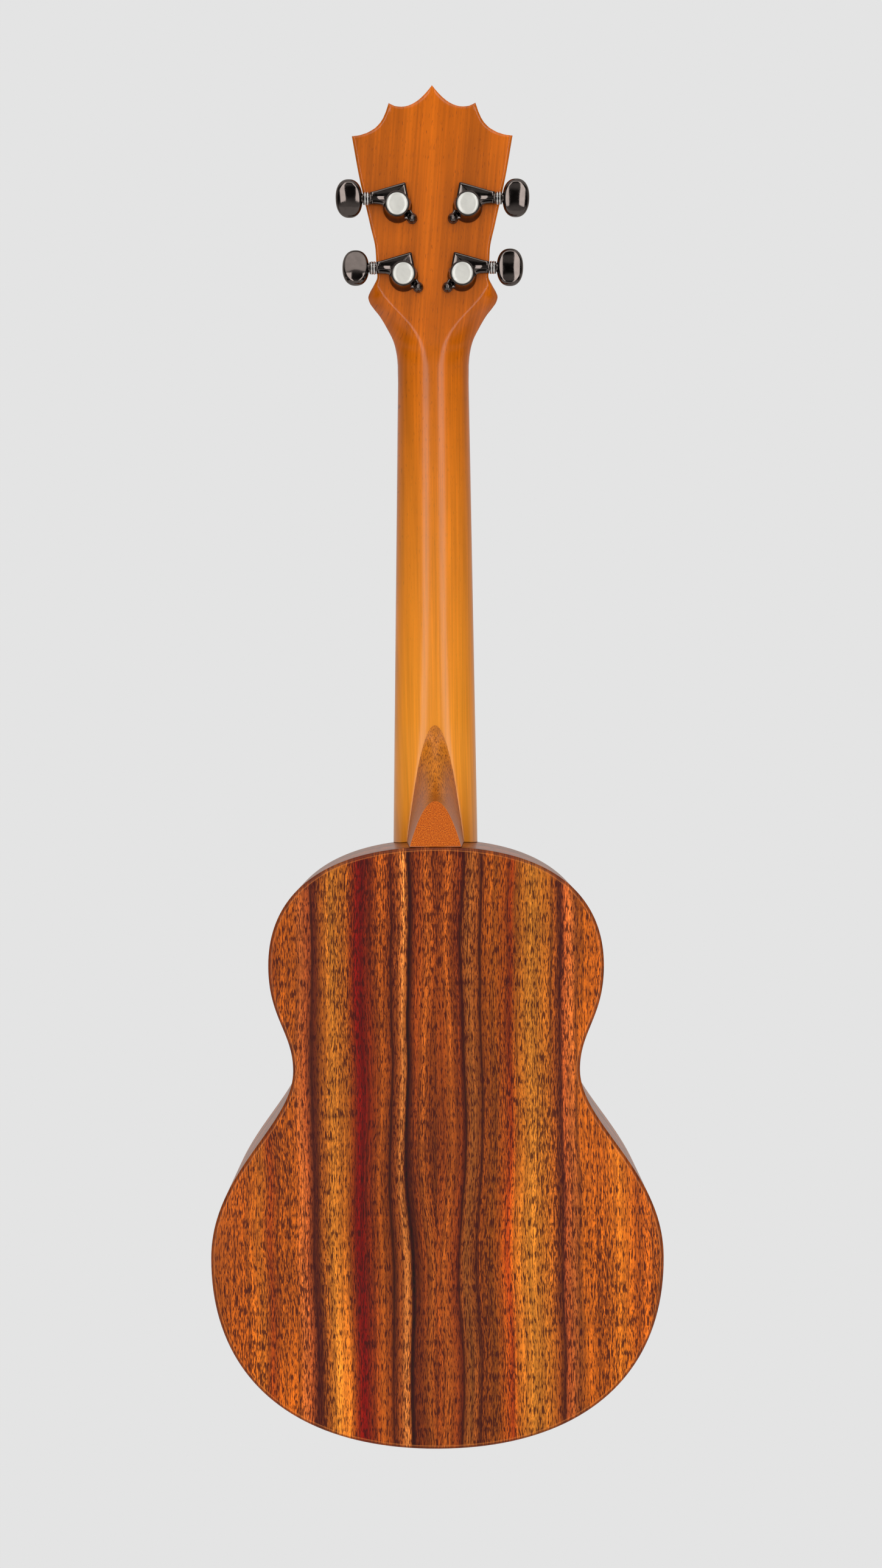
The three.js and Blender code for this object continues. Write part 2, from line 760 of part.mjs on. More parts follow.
function housingPlan(side) {
  const points = [
    [tuner.sleeveEnd, 5.8],
    [4, 8.4],
    [-3.4, 10.4],
    [-4.7, 9.8],
    [-5.9, 1.5],
    [-5.9, -1.5],
    [2, 1.5],
    [tuner.sleeveEnd, 1.5],
  ];
  return shapeOf(points.map(([x, z]) => [side * x, z]));
}

function housingLug(side) {
  const shape = new THREE.Shape();
  const x = -side * tuner.screwSide;
  shape.absarc(x, -tuner.screwDrop, 2.5, 0, 2 * Math.PI);
  return shape;
}

function makeHousing(side) {
  const upright = (geometry, low) => geometry.rotateX(Math.PI / 2).translate(0, low, 0);
  const webHeight = tuner.height - 0.9;
  const web = upright(extrude(housingPlan(side), webHeight - gap), webHeight);
  const drum = new THREE.CylinderGeometry(tuner.rimRadius, 7.3, tuner.height - gap, 24);
  const drumMove = new THREE.Matrix4().makeTranslation(0, (tuner.height + gap) / 2, -0.6);
  const lean = new THREE.Matrix4().set(1, 0, 0, 0, 0, 1, 0, 0, 0, 0.2, 1, 0, 0, 0, 0, 1);
  drum.applyMatrix4(lean).applyMatrix4(drumMove);
  const rim = pillar(tuner.rimRadius, tuner.height - 1, tuner.height + tuner.rimHeight, 24);
  const sleeve = across(side, tuner.sleeveRadius, -5, tuner.sleeveEnd, 16);
  sleeve.translate(0, tuner.axisHeight, tuner.wormRise);
  const lugHeight = 2.6;
  const lug = upright(extrude(housingLug(side), lugHeight - gap), lugHeight);
  const armPoints = [[-3, -7.2], [-7.2, -9.2], [-9.4, -5.2], [-5.6, -2]].map(([x, z]) => [side * x, z]);
  const arm = upright(extrude(shapeOf(armPoints), lugHeight - gap), lugHeight);
  const wheelZ = tuner.wormRise - gearDistance();
  const pocket = pillar(gear.wheelRadius + gear.reach + 0.4, -1, tuner.axisHeight + gear.width / 2 + gap, 20);
  pocket.translate(0, 0, wheelZ);
  const wormBore = across(side, gear.wormRadius + gear.reach + 0.35, -4.6, tuner.sleeveEnd + 1, 12);
  wormBore.translate(0, tuner.axisHeight, tuner.wormRise);
  const spindleBore = pillar(post.spindle + gap, 0, tuner.height - 0.5, 10).translate(0, 0, wheelZ);
  const seat = pillar(tuner.capRadius + gap, tuner.height, tuner.height + 4, 24);
  const screwHole = pillar(1.3, -1, 5, 8).translate(-side * tuner.screwSide, 0, -tuner.screwDrop);
  const whole = join(web, drum, rim, sleeve, lug, arm);
  return cut(whole, pocket, wormBore, spindleBore, seat, screwHole);
}

function makeScrew() {
  const top = 2.6 + gap;
  const shank = [[0, -9], [0.5, -8], [1, -6.5], [1, top]];
  const dome = [[2.3, top], [2.2, top + 1], [1.2, top + 2], [0, top + 2.2]];
  const profile = [...shank, ...dome];
  return new THREE.LatheGeometry(profile.map(([r, y]) => new THREE.Vector2(r, y)), 10);
}

function makeCap() {
  const low = tuner.height + gap;
  const wide = tuner.capRadius;
  const rim = [[0, low], [wide, low], [wide, low + 0.9]];
  const profile = [...rim, [wide - 0.5, low + 1.3], [0, low + 1.5]];
  return new THREE.LatheGeometry(profile.map(([r, y]) => new THREE.Vector2(r, y)), 24);
}

// the string post: a spindle through the wheel, then the barrel through the head, waisted in front
function makePost() {
  const top = tuner.height - 0.5 - gap;
  const front = -head.thickness;
  const barrel = -gap - 0.5;
  const profile = [
    [0, front - post.reach],
    [post.radius - 0.4, front - post.reach],
    [post.radius, front - post.reach + 0.5],
    [post.radius, front - 9],
    [post.radius - 0.5, front - 6],
    [post.radius, front - 3],
    [post.radius, barrel],
    [post.spindle, barrel],
    [post.spindle, top],
    [0, top],
  ];
  return new THREE.LatheGeometry(profile.map(([r, y]) => new THREE.Vector2(r, y)), 14);
}

function makeBushing() {
  const front = -head.thickness - gap;
  const inner = post.radius + gap;
  const sleeve = head.boreRadius - gap;
  const profile = [
    [inner, front - 1.2],
    [5.2, front - 1.2],
    [5.6, front - 0.7],
    [5.6, front],
    [sleeve, front],
    [sleeve, front + 9],
    [inner, front + 9],
    [inner, front - 1.2],
  ];
  return new THREE.LatheGeometry(profile.map(([r, y]) => new THREE.Vector2(r, y)), 16);
}

function makeTuner({ name, side, across: x, along: z, turn }) {
  const frame = new THREE.Group();
  frame.position.set(side * x, head.thickness, z);
  headGroup.add(frame);
  const wheelZ = tuner.wormRise - gearDistance();
  place(frame, `housing_${name}`, makeHousing(side), blackChrome);
  place(frame, `gear_cap_${name}`, makeCap(), pearl);
  const screw = place(frame, `fixing_screw_${name}`, makeScrew(), blackChrome);
  screw.position.set(-side * tuner.screwSide, 0, -tuner.screwDrop);
  const worm = place(frame, `worm_shaft_${name}`, makeWorm(side), blackChrome);
  worm.position.set(0, tuner.axisHeight, tuner.wormRise);
  const button = place(frame, `button_${name}`, makeButton(side, turn), blackChrome);
  button.position.copy(worm.position);
  const wheel = place(frame, `worm_wheel_${name}`, makeWheel(), brass);
  wheel.position.set(0, tuner.axisHeight, wheelZ);
  const barrel = place(frame, `string_post_${name}`, makePost(), blackChrome);
  barrel.position.z = wheelZ;
  const bushing = place(frame, `bushing_${name}`, makeBushing(), blackChrome);
  bushing.position.z = wheelZ;
}

// ---------------------------------------------------------------- the instrument

makeSoundboard();
makeBack();
makeSides();
makeLinings();
makeBlocks();
makeBraces();
makeHeel();
makeNeck();
makeHeadplate();
makeFretboard();
makeNut();
makeBridge();
makeStrings();
tuners.forEach(makeTuner);

export default instrument;
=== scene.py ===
"""A tenor ukulele: the pieces that show, worked out round its fixed frame."""

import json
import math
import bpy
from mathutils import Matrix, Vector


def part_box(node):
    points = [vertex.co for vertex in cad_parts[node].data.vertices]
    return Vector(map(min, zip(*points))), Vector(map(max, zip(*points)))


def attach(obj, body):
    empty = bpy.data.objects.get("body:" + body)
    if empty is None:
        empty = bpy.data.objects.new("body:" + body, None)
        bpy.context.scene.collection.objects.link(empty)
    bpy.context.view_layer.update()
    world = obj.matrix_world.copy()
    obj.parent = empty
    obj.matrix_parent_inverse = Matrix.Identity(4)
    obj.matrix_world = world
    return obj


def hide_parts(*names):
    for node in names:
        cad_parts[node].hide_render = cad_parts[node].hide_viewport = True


bl_info = {
    "name": "Tenor Ukulele",
    "version": (1, 0, 0),
    "blender": (4, 5, 0),
    "location": "View3D > Sidebar > Ukulele",
    "description": "Builds the wooden body, neck, fittings and tuning machines of a tenor ukulele",
    "category": "Add Mesh",
}

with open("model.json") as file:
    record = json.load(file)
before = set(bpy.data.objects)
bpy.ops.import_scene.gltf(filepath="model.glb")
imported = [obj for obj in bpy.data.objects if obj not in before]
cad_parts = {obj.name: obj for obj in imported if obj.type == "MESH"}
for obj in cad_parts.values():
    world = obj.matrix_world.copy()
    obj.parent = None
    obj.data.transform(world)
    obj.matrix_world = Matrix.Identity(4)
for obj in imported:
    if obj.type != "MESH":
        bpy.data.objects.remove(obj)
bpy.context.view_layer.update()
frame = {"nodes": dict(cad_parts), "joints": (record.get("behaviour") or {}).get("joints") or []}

import bmesh
import bpy
import numpy as np
from bpy.props import FloatProperty, FloatVectorProperty, IntProperty, PointerProperty
from bpy.types import Operator, Panel, PropertyGroup

# ------------------------------------------------------------------ places taken from the frame

MM = 0.001
GAP = 0.3 * MM  # what the frame leaves between pieces that touch

BODY_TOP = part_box("back_plate")[1].z
BODY_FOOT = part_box("back_plate")[0].z
BODY_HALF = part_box("back_plate")[1].x
BODY_LENGTH = BODY_TOP - BODY_FOOT
PLATE_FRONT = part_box("soundboard")[1].y
PLATE_BACK = 2.4 * MM
DEPTH_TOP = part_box("back_plate")[0].y + PLATE_BACK
DEPTH_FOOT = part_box("back_plate")[1].y
NUT_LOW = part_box("nut")[0].z - GAP
NUT_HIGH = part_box("nut")[1].z
BOARD_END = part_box("fretboard")[0].z
BOARD_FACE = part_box("fretboard")[0].y
SADDLE_Z = (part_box("saddle")[0].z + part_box("saddle")[1].z) / 2
SADDLE_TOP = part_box("saddle")[0].y
BRIDGE_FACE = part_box("bridge")[0].y
NUT_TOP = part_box("nut")[0].y
HEEL_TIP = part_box("heel_block")[1].z
HEEL_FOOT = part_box("heel_block")[0].z
GLUE_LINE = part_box("heel_block")[0].y

JOINTS = {joint["name"]: joint for joint in frame["joints"]}
POST_AXIS = np.array(JOINTS["post_turn_1"]["axis"])
TILT_COS, TILT_SIN = POST_AXIS[1], -POST_AXIS[2]
HEAD_THICK = 15.0 * MM  # from the veneer's face to the head's back
VENEER = 2.0 * MM
HEAD_Y = -2.16 * MM  # where the head's face would meet the nut's upper side
HEAD_Z = NUT_HIGH + GAP
TUNERS = ("1", "2", "3", "4")
SCALE = NUT_LOW - SADDLE_Z - 2 * MM  # the saddle stands back a little, as the strings need


def back_y(z):
    """Depth of the flat back's outer face at height z: a straight line from top to foot."""
    return DEPTH_TOP + (DEPTH_FOOT - DEPTH_TOP) * (BODY_TOP - z) / BODY_LENGTH


def on_head(across, depth, along):
    """A point on the tilted head, from its distance across, behind the face and up from the nut."""
    y = HEAD_Y + along * TILT_SIN + depth * TILT_COS
    z = HEAD_Z + along * TILT_COS - depth * TILT_SIN
    return surface(across, y, z)


def surface(x, y, z):
    """A grid of points from three arrays, each spread over the rows or columns of the others."""
    return np.stack(np.broadcast_arrays(x, y, z), -1)


# ------------------------------------------------------------------ sizes and colours to change


def length(text, default, about):
    """A length in metres that shows in the sidebar."""
    return FloatProperty(name=text, description=about, default=default, unit="LENGTH", precision=5)


def colour(text, rgb, about):
    """A colour that shows in the sidebar, given as the everyday 0 to 255 values."""
    return FloatVectorProperty(
        name=text, description=about, default=linear(rgb), subtype="COLOR", size=3, min=0, max=1
    )


def linear(rgb):
    """Everyday 0 to 255 colour values as linear light."""
    share = np.array(rgb, float) / 255
    low = share / 12.92
    high = ((share + 0.055) / 1.055) ** 2.4
    return tuple(float(v) for v in np.where(share <= 0.04045, low, high))


def scaled(rgb, share, lift=0):
    """An everyday colour made lighter or darker."""
    return tuple(min(255.0, v * share + lift) for v in rgb)


class UkuleleBodySizes(PropertyGroup):
    """Sizes of the body, measured on its outline"""

    upper_half: length("Upper bout", 82.1 * MM, "Half the width of the upper bout")
    upper_drop: length("Upper bout place", 57.6 * MM, "From the top of the body down to that width")
    waist_half: length("Waist", 69.95 * MM, "Half the width of the waist")
    waist_drop: length("Waist place", 108.9 * MM, "From the top of the body down to the waist")
    lower_half: length("Lower bout", BODY_HALF, "Half the width of the lower bout")
    lower_drop: length("Lower bout place", 198.5 * MM, "From the top of the body down to that width")
    side_wall: length("Side", 2.0 * MM, "Thickness of the bent sides")
    edge_round: length("Edge rounding", 1.3 * MM, "Radius on the outer edges of the plates")
    hole_radius: length("Sound hole", 29 * MM, "Radius of the sound hole")
    hole_drop: length("Sound hole place", 85.5 * MM, "From the top of the body to the hole's centre")


class UkuleleNeckSizes(PropertyGroup):
    """Sizes of the neck, head and heel"""

    half_at_nut: length("Neck at the nut", 18.75 * MM, "Half the width at the nut")
    half_at_body: length("Neck at the body", 22.2 * MM, "Half the width at the body")
    depth_at_nut: length("Depth at the nut", 15.3 * MM, "Thickness of the shaft near the nut")
    depth_at_heel: length("Depth at the heel", 18 * MM, "Thickness where the heel begins")
    crown_half: length("Crown", 40.5 * MM, "Half the width across the crown's outer points")
    crown_rise: length("Crown's shoulders", 118.4 * MM, "From the nut to the crown's outer points")
    tip_rise: length("Crown's tip", 142.3 * MM, "From the nut to the middle point of the crown")
    head_round: length("Head rounding", 1.3 * MM, "Radius on the head's back edges")
    heel_foot_half: length("Heel at the neck", 14.7 * MM, "Half the heel's width at the glue line")
    heel_cap_half: length("Heel at the back", 12.7 * MM, "Half the heel's width at its end face")
    heel_cap_rise: length("Heel face", 22.4 * MM, "Height of the heel's end face")
    frets: IntProperty(name="Frets", description="Number of frets", default=19, min=12, max=24)


class UkuleleColours(PropertyGroup):
    """Colours of the woods, the metal and the room"""

    neck: colour("Neck", (190, 92, 2), "Honey colour of the neck and head")
    heel: colour("Heel", (204, 118, 26), "Colour of the heel block")
    ebony: colour("Fretboard", (46, 34, 30), "Dark wood of fretboard, bridge and veneer")
    spruce: colour("Braces", (214, 182, 132), "Bare wood inside the body")
    metal: colour("Machines", (92, 84, 80), "Reflected colour of the black chrome")
    cap: colour("Caps", (206, 204, 196), "Satin caps over the gears")
    backdrop: colour("Backdrop", (228, 228, 228), "Floor and background")


# ------------------------------------------------------------------ meshes from arrays


def grid_faces(rows, columns, round_rows=False, round_columns=False, first=0):
    """Four-sided faces between the neighbouring rows and columns of a grid of points."""
    r = np.arange(rows if round_rows else rows - 1)[:, None]
    c = np.arange(columns if round_columns else columns - 1)[None, :]
    next_r = (r + 1) % rows
    next_c = (c + 1) % columns
    corners = [r * columns + c, r * columns + next_c, next_r * columns + next_c, next_r * columns + c]
    return (first + np.stack(np.broadcast_arrays(*corners), -1).reshape(-1, 4)).tolist()


def tube_faces(rows, columns, first=0):
    """A closed skin: rings of points joined in order, with one face over each end."""
    start = list(range(first, first + columns))
    last = first + (rows - 1) * columns
    end = list(range(last, last + columns))
    return grid_faces(rows, columns, round_columns=True, first=first) + [start[::-1], end]


def make_piece(name, points, faces, finish, body="root", stands_for=(), slot=None, crease=35, **layers):
    """Puts points and faces in a mesh, turns its faces outwards and hangs it on its body."""
    mesh = bpy.data.meshes.new(name)
    mesh.from_pydata(np.asarray(points).reshape(-1, 3).tolist(), [], faces)
    for layer, values in layers.items():
        attribute = mesh.attributes.new(layer, "FLOAT", "POINT")
        attribute.data.foreach_set("value", np.asarray(values, np.float32).ravel())
    shell = bmesh.new()
    shell.from_mesh(mesh)
    bmesh.ops.recalc_face_normals(shell, faces=shell.faces)
    shell.to_mesh(mesh)
    shell.free()
    mesh.shade_smooth()
    mesh.set_sharp_from_angle(angle=math.radians(crease))
    piece = bpy.data.objects.new(name, mesh)
    bpy.context.scene.collection.objects.link(piece)
    mesh.materials.append(finish)
    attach(piece, body)
    if stands_for:
        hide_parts(*stands_for)
    return piece


def joined(parts):
    """One list of points and one of faces from several (points, faces) pairs."""
    points, faces, count = [], [], 0
    for some, more in parts:
        some = np.asarray(some).reshape(-1, 3)
        points.append(some)
        faces += [[index + count for index in face] for face in more]
        count += len(some)
    return np.concatenate(points), faces


def turned(profile, segments=32):
    """A turned shape round its own Y axis from (radius, height) points, closed at both ends."""
    profile = np.asarray(profile, float)
    angle = np.arange(segments) * 2 * np.pi / segments
    x = profile[:, 0, None] * np.cos(angle)
    z = profile[:, 0, None] * np.sin(angle)
    y = np.broadcast_to(profile[:, 1, None], x.shape)
    return np.stack([x, y, z], -1), tube_faces(len(profile), segments)


def washer(profile, segments=40):
    """A turned ring from a closed loop of (radius, height) points."""
    profile = np.asarray(profile, float)
    points, _ = turned(profile, segments)
    return points, grid_faces(len(profile), segments, round_rows=True, round_columns=True)


def wire(path, radius, sides=10):
    """A round tube along a smooth path: each ring stands square to the path's direction."""
    path = np.asarray(path, float)
    run = np.gradient(path, axis=0)
    run /= np.linalg.norm(run, axis=1, keepdims=True)
    guide = np.where(np.abs(run[:, :1]) > 0.9, [[0, 1.0, 0]], [[1.0, 0, 0]])
    side = np.cross(run, guide)
    side /= np.linalg.norm(side, axis=1, keepdims=True)
    up = np.cross(run, side)
    angle = np.arange(sides) * 2 * np.pi / sides
    radius = np.broadcast_to(radius, len(path))[:, None, None]
    ring = side[:, None] * np.cos(angle)[:, None] + up[:, None] * np.sin(angle)[:, None]
    return path[:, None] + ring * radius, tube_faces(len(path), sides)


def smooth_through(at, xs, ys):
    """A smooth curve through a few points that never overshoots them, read at many places."""
    xs, ys, at = (np.asarray(v, float) for v in (xs, ys, at))
    step = np.diff(xs)
    slope = np.diff(ys) / step
    before, after = slope[:-1], slope[1:]
    same = before * after > 0
    total = np.where(same, before + after, 1)
    middle = np.where(same, 2 * before * after / total, 0)
    lean = np.concatenate([[slope[0]], middle, [slope[-1]]])
    k = np.clip(np.searchsorted(xs, at) - 1, 0, len(step) - 1)
    t = np.clip((at - xs[k]) / step[k], 0, 1)
    a, b = ys[k], ys[k + 1]
    rise = (3 - 2 * t) * t * t
    return a + (b - a) * rise + step[k] * (t * (1 - t) ** 2 * lean[k] - t * t * (1 - t) * lean[k + 1])


def quadratic(a, control, b, count):
    """A curve from a to b that is drawn towards one control point."""
    t = np.linspace(0, 1, count)[:, None]
    a, control, b = (np.asarray(p, float) for p in (a, control, b))
    return (1 - t) ** 2 * a + 2 * t * (1 - t) * control + t * t * b


def moved_in(loop, inset):
    """A closed loop of (x, z) points moved sideways towards its inside."""
    run = np.roll(loop, -1, 0) - np.roll(loop, 1, 0)
    run /= np.linalg.norm(run, axis=1, keepdims=True)
    area = np.sum(loop[:, 0] * np.roll(loop[:, 1], -1) - np.roll(loop[:, 0], -1) * loop[:, 1])
    inward = np.stack([-run[:, 1], run[:, 0]], -1) * np.sign(area)
    return loop + inward * inset


# ------------------------------------------------------------------ finishes


class Finish:
    """A material's nodes, added one after another."""

    def __init__(self, name):
        self.material = bpy.data.materials.new(name)
        self.material.use_nodes = True
        self.tree = self.material.node_tree
        self.tree.nodes.clear()
        self.shader = self.add("ShaderNodeBsdfPrincipled")
        self.output = self.add("ShaderNodeOutputMaterial", {"Surface": self.shader.outputs["BSDF"]})
        self.output.is_active_output = True

    def add(self, kind, inputs=None, **settings):
        """A new node, with its settings and with its inputs linked or set."""
        node = self.tree.nodes.new(kind)
        for key, value in settings.items():
            setattr(node, key, value)
        for key, value in (inputs or {}).items():
            if isinstance(value, bpy.types.NodeSocket):
                self.tree.links.new(value, node.inputs[key])
            else:
                node.inputs[key].default_value = value
        return node

    def set(self, **sockets):
        """Links or sets the shader's inputs, and gives back the finished material."""
        for key, value in sockets.items():
            socket = self.shader.inputs[key.replace("_", " ")]
            if isinstance(value, bpy.types.NodeSocket):
                self.tree.links.new(value, socket)
            else:
                socket.default_value = value
        return self.material

    def place(self):
        """Object coordinates, as X, Y and Z."""
        return self.add("ShaderNodeSeparateXYZ", {0: self.coordinates()}).outputs

    def coordinates(self):
        """Object coordinates, as one place."""
        return self.add("ShaderNodeTexCoord").outputs["Object"]

    def layer(self, name):
        """A number that the piece carries on its points."""
        return self.add("ShaderNodeAttribute", attribute_name=name).outputs["Fac"]

    def vector(self, x=0.0, y=0.0, z=0.0):
        """Three numbers as one place."""
        return self.add("ShaderNodeCombineXYZ", {0: x, 1: y, 2: z}).outputs[0]

    def math(self, operation, a, b=0.0):
        """One sum, product or other operation on two numbers."""
        return self.add("ShaderNodeMath", {0: a, 1: b}, operation=operation).outputs[0]

    def times(self, a, b):
        """The product of two numbers."""
        return self.math("MULTIPLY", a, b)

    def noise(self, vector, scale=1.0, detail=2.0, roughness=0.5):
        """Cloudy noise at a place, from 0 to 1."""
        inputs = {"Vector": vector, "Scale": scale, "Detail": detail, "Roughness": roughness}
        return self.add("ShaderNodeTexNoise", inputs, noise_dimensions="3D").outputs["Fac"]

    def grain(self, across, along, over, down, section=0.0, detail=2.0):
        """Noise drawn out along the wood: it changes at one rate across and another along."""
        place = self.vector(self.times(across, over), section, self.times(along, down))
        return self.noise(place, detail=detail)

    def stretch(self, value, low, high, new_low=0.0, new_high=1.0):
        """The value's range from low to high, spread over a new range and held at its ends."""
        inputs = {"Value": value, "From Min": low, "From Max": high}
        inputs.update({"To Min": new_low, "To Max": new_high})
        return self.add("ShaderNodeMapRange", inputs, clamp=True).outputs["Result"]

    def ramp(self, value, stops):
        """A colour for each value, from (place, everyday colour) stops."""
        node = self.add("ShaderNodeValToRGB", {"Fac": value})
        band = node.color_ramp
        while len(band.elements) < len(stops):
            band.elements.new(0.5)
        for element, (place, rgb) in zip(band.elements, stops):
            element.position = place
            element.color = (*linear(rgb), 1)
        return node.outputs["Color"]

    def mix(self, share, a, b, blend="MIX"):
        """Two colours mixed by a share, or joined by another blend."""
        node = self.add("ShaderNodeMix", data_type="RGBA", blend_type=blend, clamp_factor=True)
        for number, value in ((0, share), (6, a), (7, b)):
            if isinstance(value, bpy.types.NodeSocket):
                self.tree.links.new(value, node.inputs[number])
            else:
                node.inputs[number].default_value = (*value, 1) if number else value
        return node.outputs[2]

    def shade(self, tint, amount):
        """The colour made lighter or darker by a factor that varies over the surface."""
        grey = self.add("ShaderNodeCombineColor", {0: amount, 1: amount, 2: amount}).outputs[0]
        return self.mix(1.0, tint, grey, "MULTIPLY")

    def bump(self, height, strength, distance):
        """Lets a height tilt the shading."""
        inputs = {"Height": height, "Strength": strength, "Distance": distance}
        self.set(Normal=self.add("ShaderNodeBump", inputs).outputs["Normal"])


# places in millimetres from the centre joint and the colours of the wood there, on each half
KOA_REACH = 110
KOA_TREBLE = (
    (0, (150, 72, 26)), (3, (170, 90, 36)), (7, (148, 68, 26)), (10.4, (92, 36, 12)),
    (11.4, (22, 5, 3)), (12.4, (32, 8, 4)), (13.2, (158, 88, 44)), (14.6, (198, 124, 76)),
    (17, (152, 80, 38)), (20, (124, 54, 22)), (20.8, (46, 12, 7)), (21.8, (136, 62, 20)),
    (26, (152, 78, 26)), (31, (134, 50, 14)), (35, (112, 8, 2)), (38, (122, 14, 2)),
    (40.5, (148, 62, 14)), (43, (184, 104, 38)), (50, (196, 124, 52)), (55, (174, 96, 38)),
    (58, (98, 40, 20)), (60, (58, 18, 15)), (62.5, (172, 84, 48)), (66, (204, 112, 62)),
    (69, (180, 94, 26)), (77, (188, 98, 24)), (82, (152, 64, 14)), (86, (194, 110, 36)),
    (94, (184, 94, 22)), (110, (192, 100, 26)),
)
KOA_BASS = (
    (0, (152, 72, 26)), (4, (168, 88, 34)), (9, (148, 66, 26)), (10.8, (90, 32, 12)),
    (11.8, (38, 10, 7)), (12.6, (136, 70, 32)), (15, (172, 102, 54)), (19, (142, 74, 32)),
    (20.8, (58, 18, 10)), (22, (148, 74, 22)), (28, (160, 86, 26)), (33, (164, 78, 18)),
    (36, (150, 56, 10)), (39, (184, 104, 36)), (46, (204, 132, 56)), (54, (190, 112, 42)),
    (58, (154, 78, 30)), (60.5, (74, 28, 20)), (62, (168, 82, 46)), (66, (202, 112, 62)),
    (70, (184, 98, 26)), (80, (188, 98, 24)), (88, (200, 114, 34)), (96, (184, 92, 20)),
    (110, (194, 104, 28)),
)


# koa's streaks from broad to fine, and its cross curl: rates of change across and along the
# grain, section, detail, how far the noise is spread and its darkest and lightest shade
KOA_STREAKS = (
    (14.0, 6.0, 31.0, 2.0, 0.2, 0.7, 1.2),
    (170.0, 2.6, 3.0, 3.0, 0.2, 0.5, 1.4),
    (520.0, 5.0, 5.0, 2.0, 0.2, 0.62, 1.4),
    (1100.0, 12.0, 7.0, 3.0, 0.22, 0.7, 1.3),
    (42.0, 150.0, 1.0, 1.0, 0.2, 0.88, 1.12),
)
AMBER = (1.19, 0.98, 0.46)  # what the varnish does to red, green and blue light
SIDE_STOPS = (
    (0, (150, 82, 38)), (0.2, (182, 104, 46)), (0.34, (120, 56, 28)), (0.42, (172, 92, 38)),
    (0.6, (160, 84, 36)), (0.7, (104, 46, 26)), (0.76, (178, 100, 46)), (1, (150, 78, 32)),
)
END_GRAIN_STOPS = (
    (0, (130, 50, 0)), (0.3, (168, 72, 0)), (0.5, (190, 88, 0)), (0.8, (202, 100, 4)), (1, (220, 128, 30)),
)
PEARL_STOPS = (
    (0, (196, 206, 204)), (0.35, (226, 214, 222)), (0.65, (206, 226, 216)), (1, (240, 236, 226)),
)


def wood_marks(finish, across, along, tint):
    """Adds to a wood colour its broad and fine streaks, its cross curl and its open pores."""
    for over, down, section, detail, spread, dark, light in KOA_STREAKS:
        streak = finish.grain(across, along, over, down, section, detail)
        tint = finish.shade(tint, finish.stretch(streak, 0.5 - spread, 0.5 + spread, dark, light))
    crowd = finish.stretch(finish.grain(across, along, 60.0, 9.0, 17.0), 0.35, 0.65, -0.03, 0.04)
    dash = finish.math("ADD", finish.grain(across, along, 1600.0, 190.0, 11.0, 1.0), crowd)
    short = finish.math("ADD", finish.grain(across, along, 2800.0, 360.0, 23.0, 1.0), crowd)
    long_pores = finish.stretch(dash, 0.535, 0.6)
    short_pores = finish.stretch(short, 0.535, 0.6, 0.0, 0.9)
    pore = finish.math("MAXIMUM", long_pores, short_pores)
    tint = finish.mix(finish.times(pore, 0.9), tint, linear((50, 7, 10)))
    finish.bump(finish.math("SUBTRACT", 1.0, pore), 0.2, 0.05 * MM)
    return finish.mix(1.0, tint, AMBER, "MULTIPLY")


def book_matched(name):
    """Koa in two mirrored halves: bands that follow the distance from the centre joint.

    Near the joint the bands bow outwards beside the waist, and all of them drift and quiver."""
    finish = Finish(name)
    x, _, z = finish.place()
    out = finish.math("ABSOLUTE", x)
    middle = finish.math("DIVIDE", finish.math("ADD", z, 0.390), 0.062)
    hump = finish.math("POWER", 2.718, finish.times(finish.times(middle, middle), -1.0))
    near = finish.stretch(out, 4 * MM, 32 * MM, 1.0, 0.0)
    bow = finish.times(finish.times(hump, near), -3.6 * MM)
    drift = finish.stretch(finish.grain(x, z, 9.0, 9.0, detail=1.0), 0.3, 0.7, -2.2 * MM, 2.2 * MM)
    quiver = finish.stretch(finish.grain(x, z, 60.0, 26.0), 0.3, 0.7, -0.5 * MM, 0.5 * MM)
    across = finish.math("ADD", finish.math("ADD", out, bow), finish.math("ADD", drift, quiver))
    share = finish.math("DIVIDE", finish.math("MAXIMUM", across, 0.0), KOA_REACH * MM)
    treble = finish.ramp(share, [(mm / KOA_REACH, rgb) for mm, rgb in KOA_TREBLE])
    bass = finish.ramp(share, [(mm / KOA_REACH, rgb) for mm, rgb in KOA_BASS])
    tint = finish.mix(finish.math("GREATER_THAN", x, 0.0), bass, treble)
    signed = finish.math("ADD", across, finish.times(finish.math("SIGN", x), 0.2))
    tint = wood_marks(finish, signed, z, tint)
    rim = finish.layer("rim")
    # painted dark reflection: the rounded edge of the plate is darkened towards dark brown
    tint = finish.mix(finish.stretch(rim, 1.15 * MM, 1.5 * MM, 0.7, 0.0), tint, linear((104, 46, 18)))
    # painted highlight: a thin light line just inside the darkened edge, where the rounded edge would catch
    # the light
    painted_highlight_starts = finish.stretch(rim, 1.35 * MM, 1.6 * MM)
    painted_highlight_ends = finish.stretch(rim, 1.9 * MM, 2.1 * MM, 1.0, 0.0)
    line = finish.times(painted_highlight_starts, painted_highlight_ends)
    tint = finish.mix(finish.times(line, 0.3), tint, linear((212, 124, 60)))
    return finish.set(
        Base_Color=tint, Roughness=0.36, Coat_Weight=0.1, Coat_Roughness=0.1, Specular_IOR_Level=0.1
    )


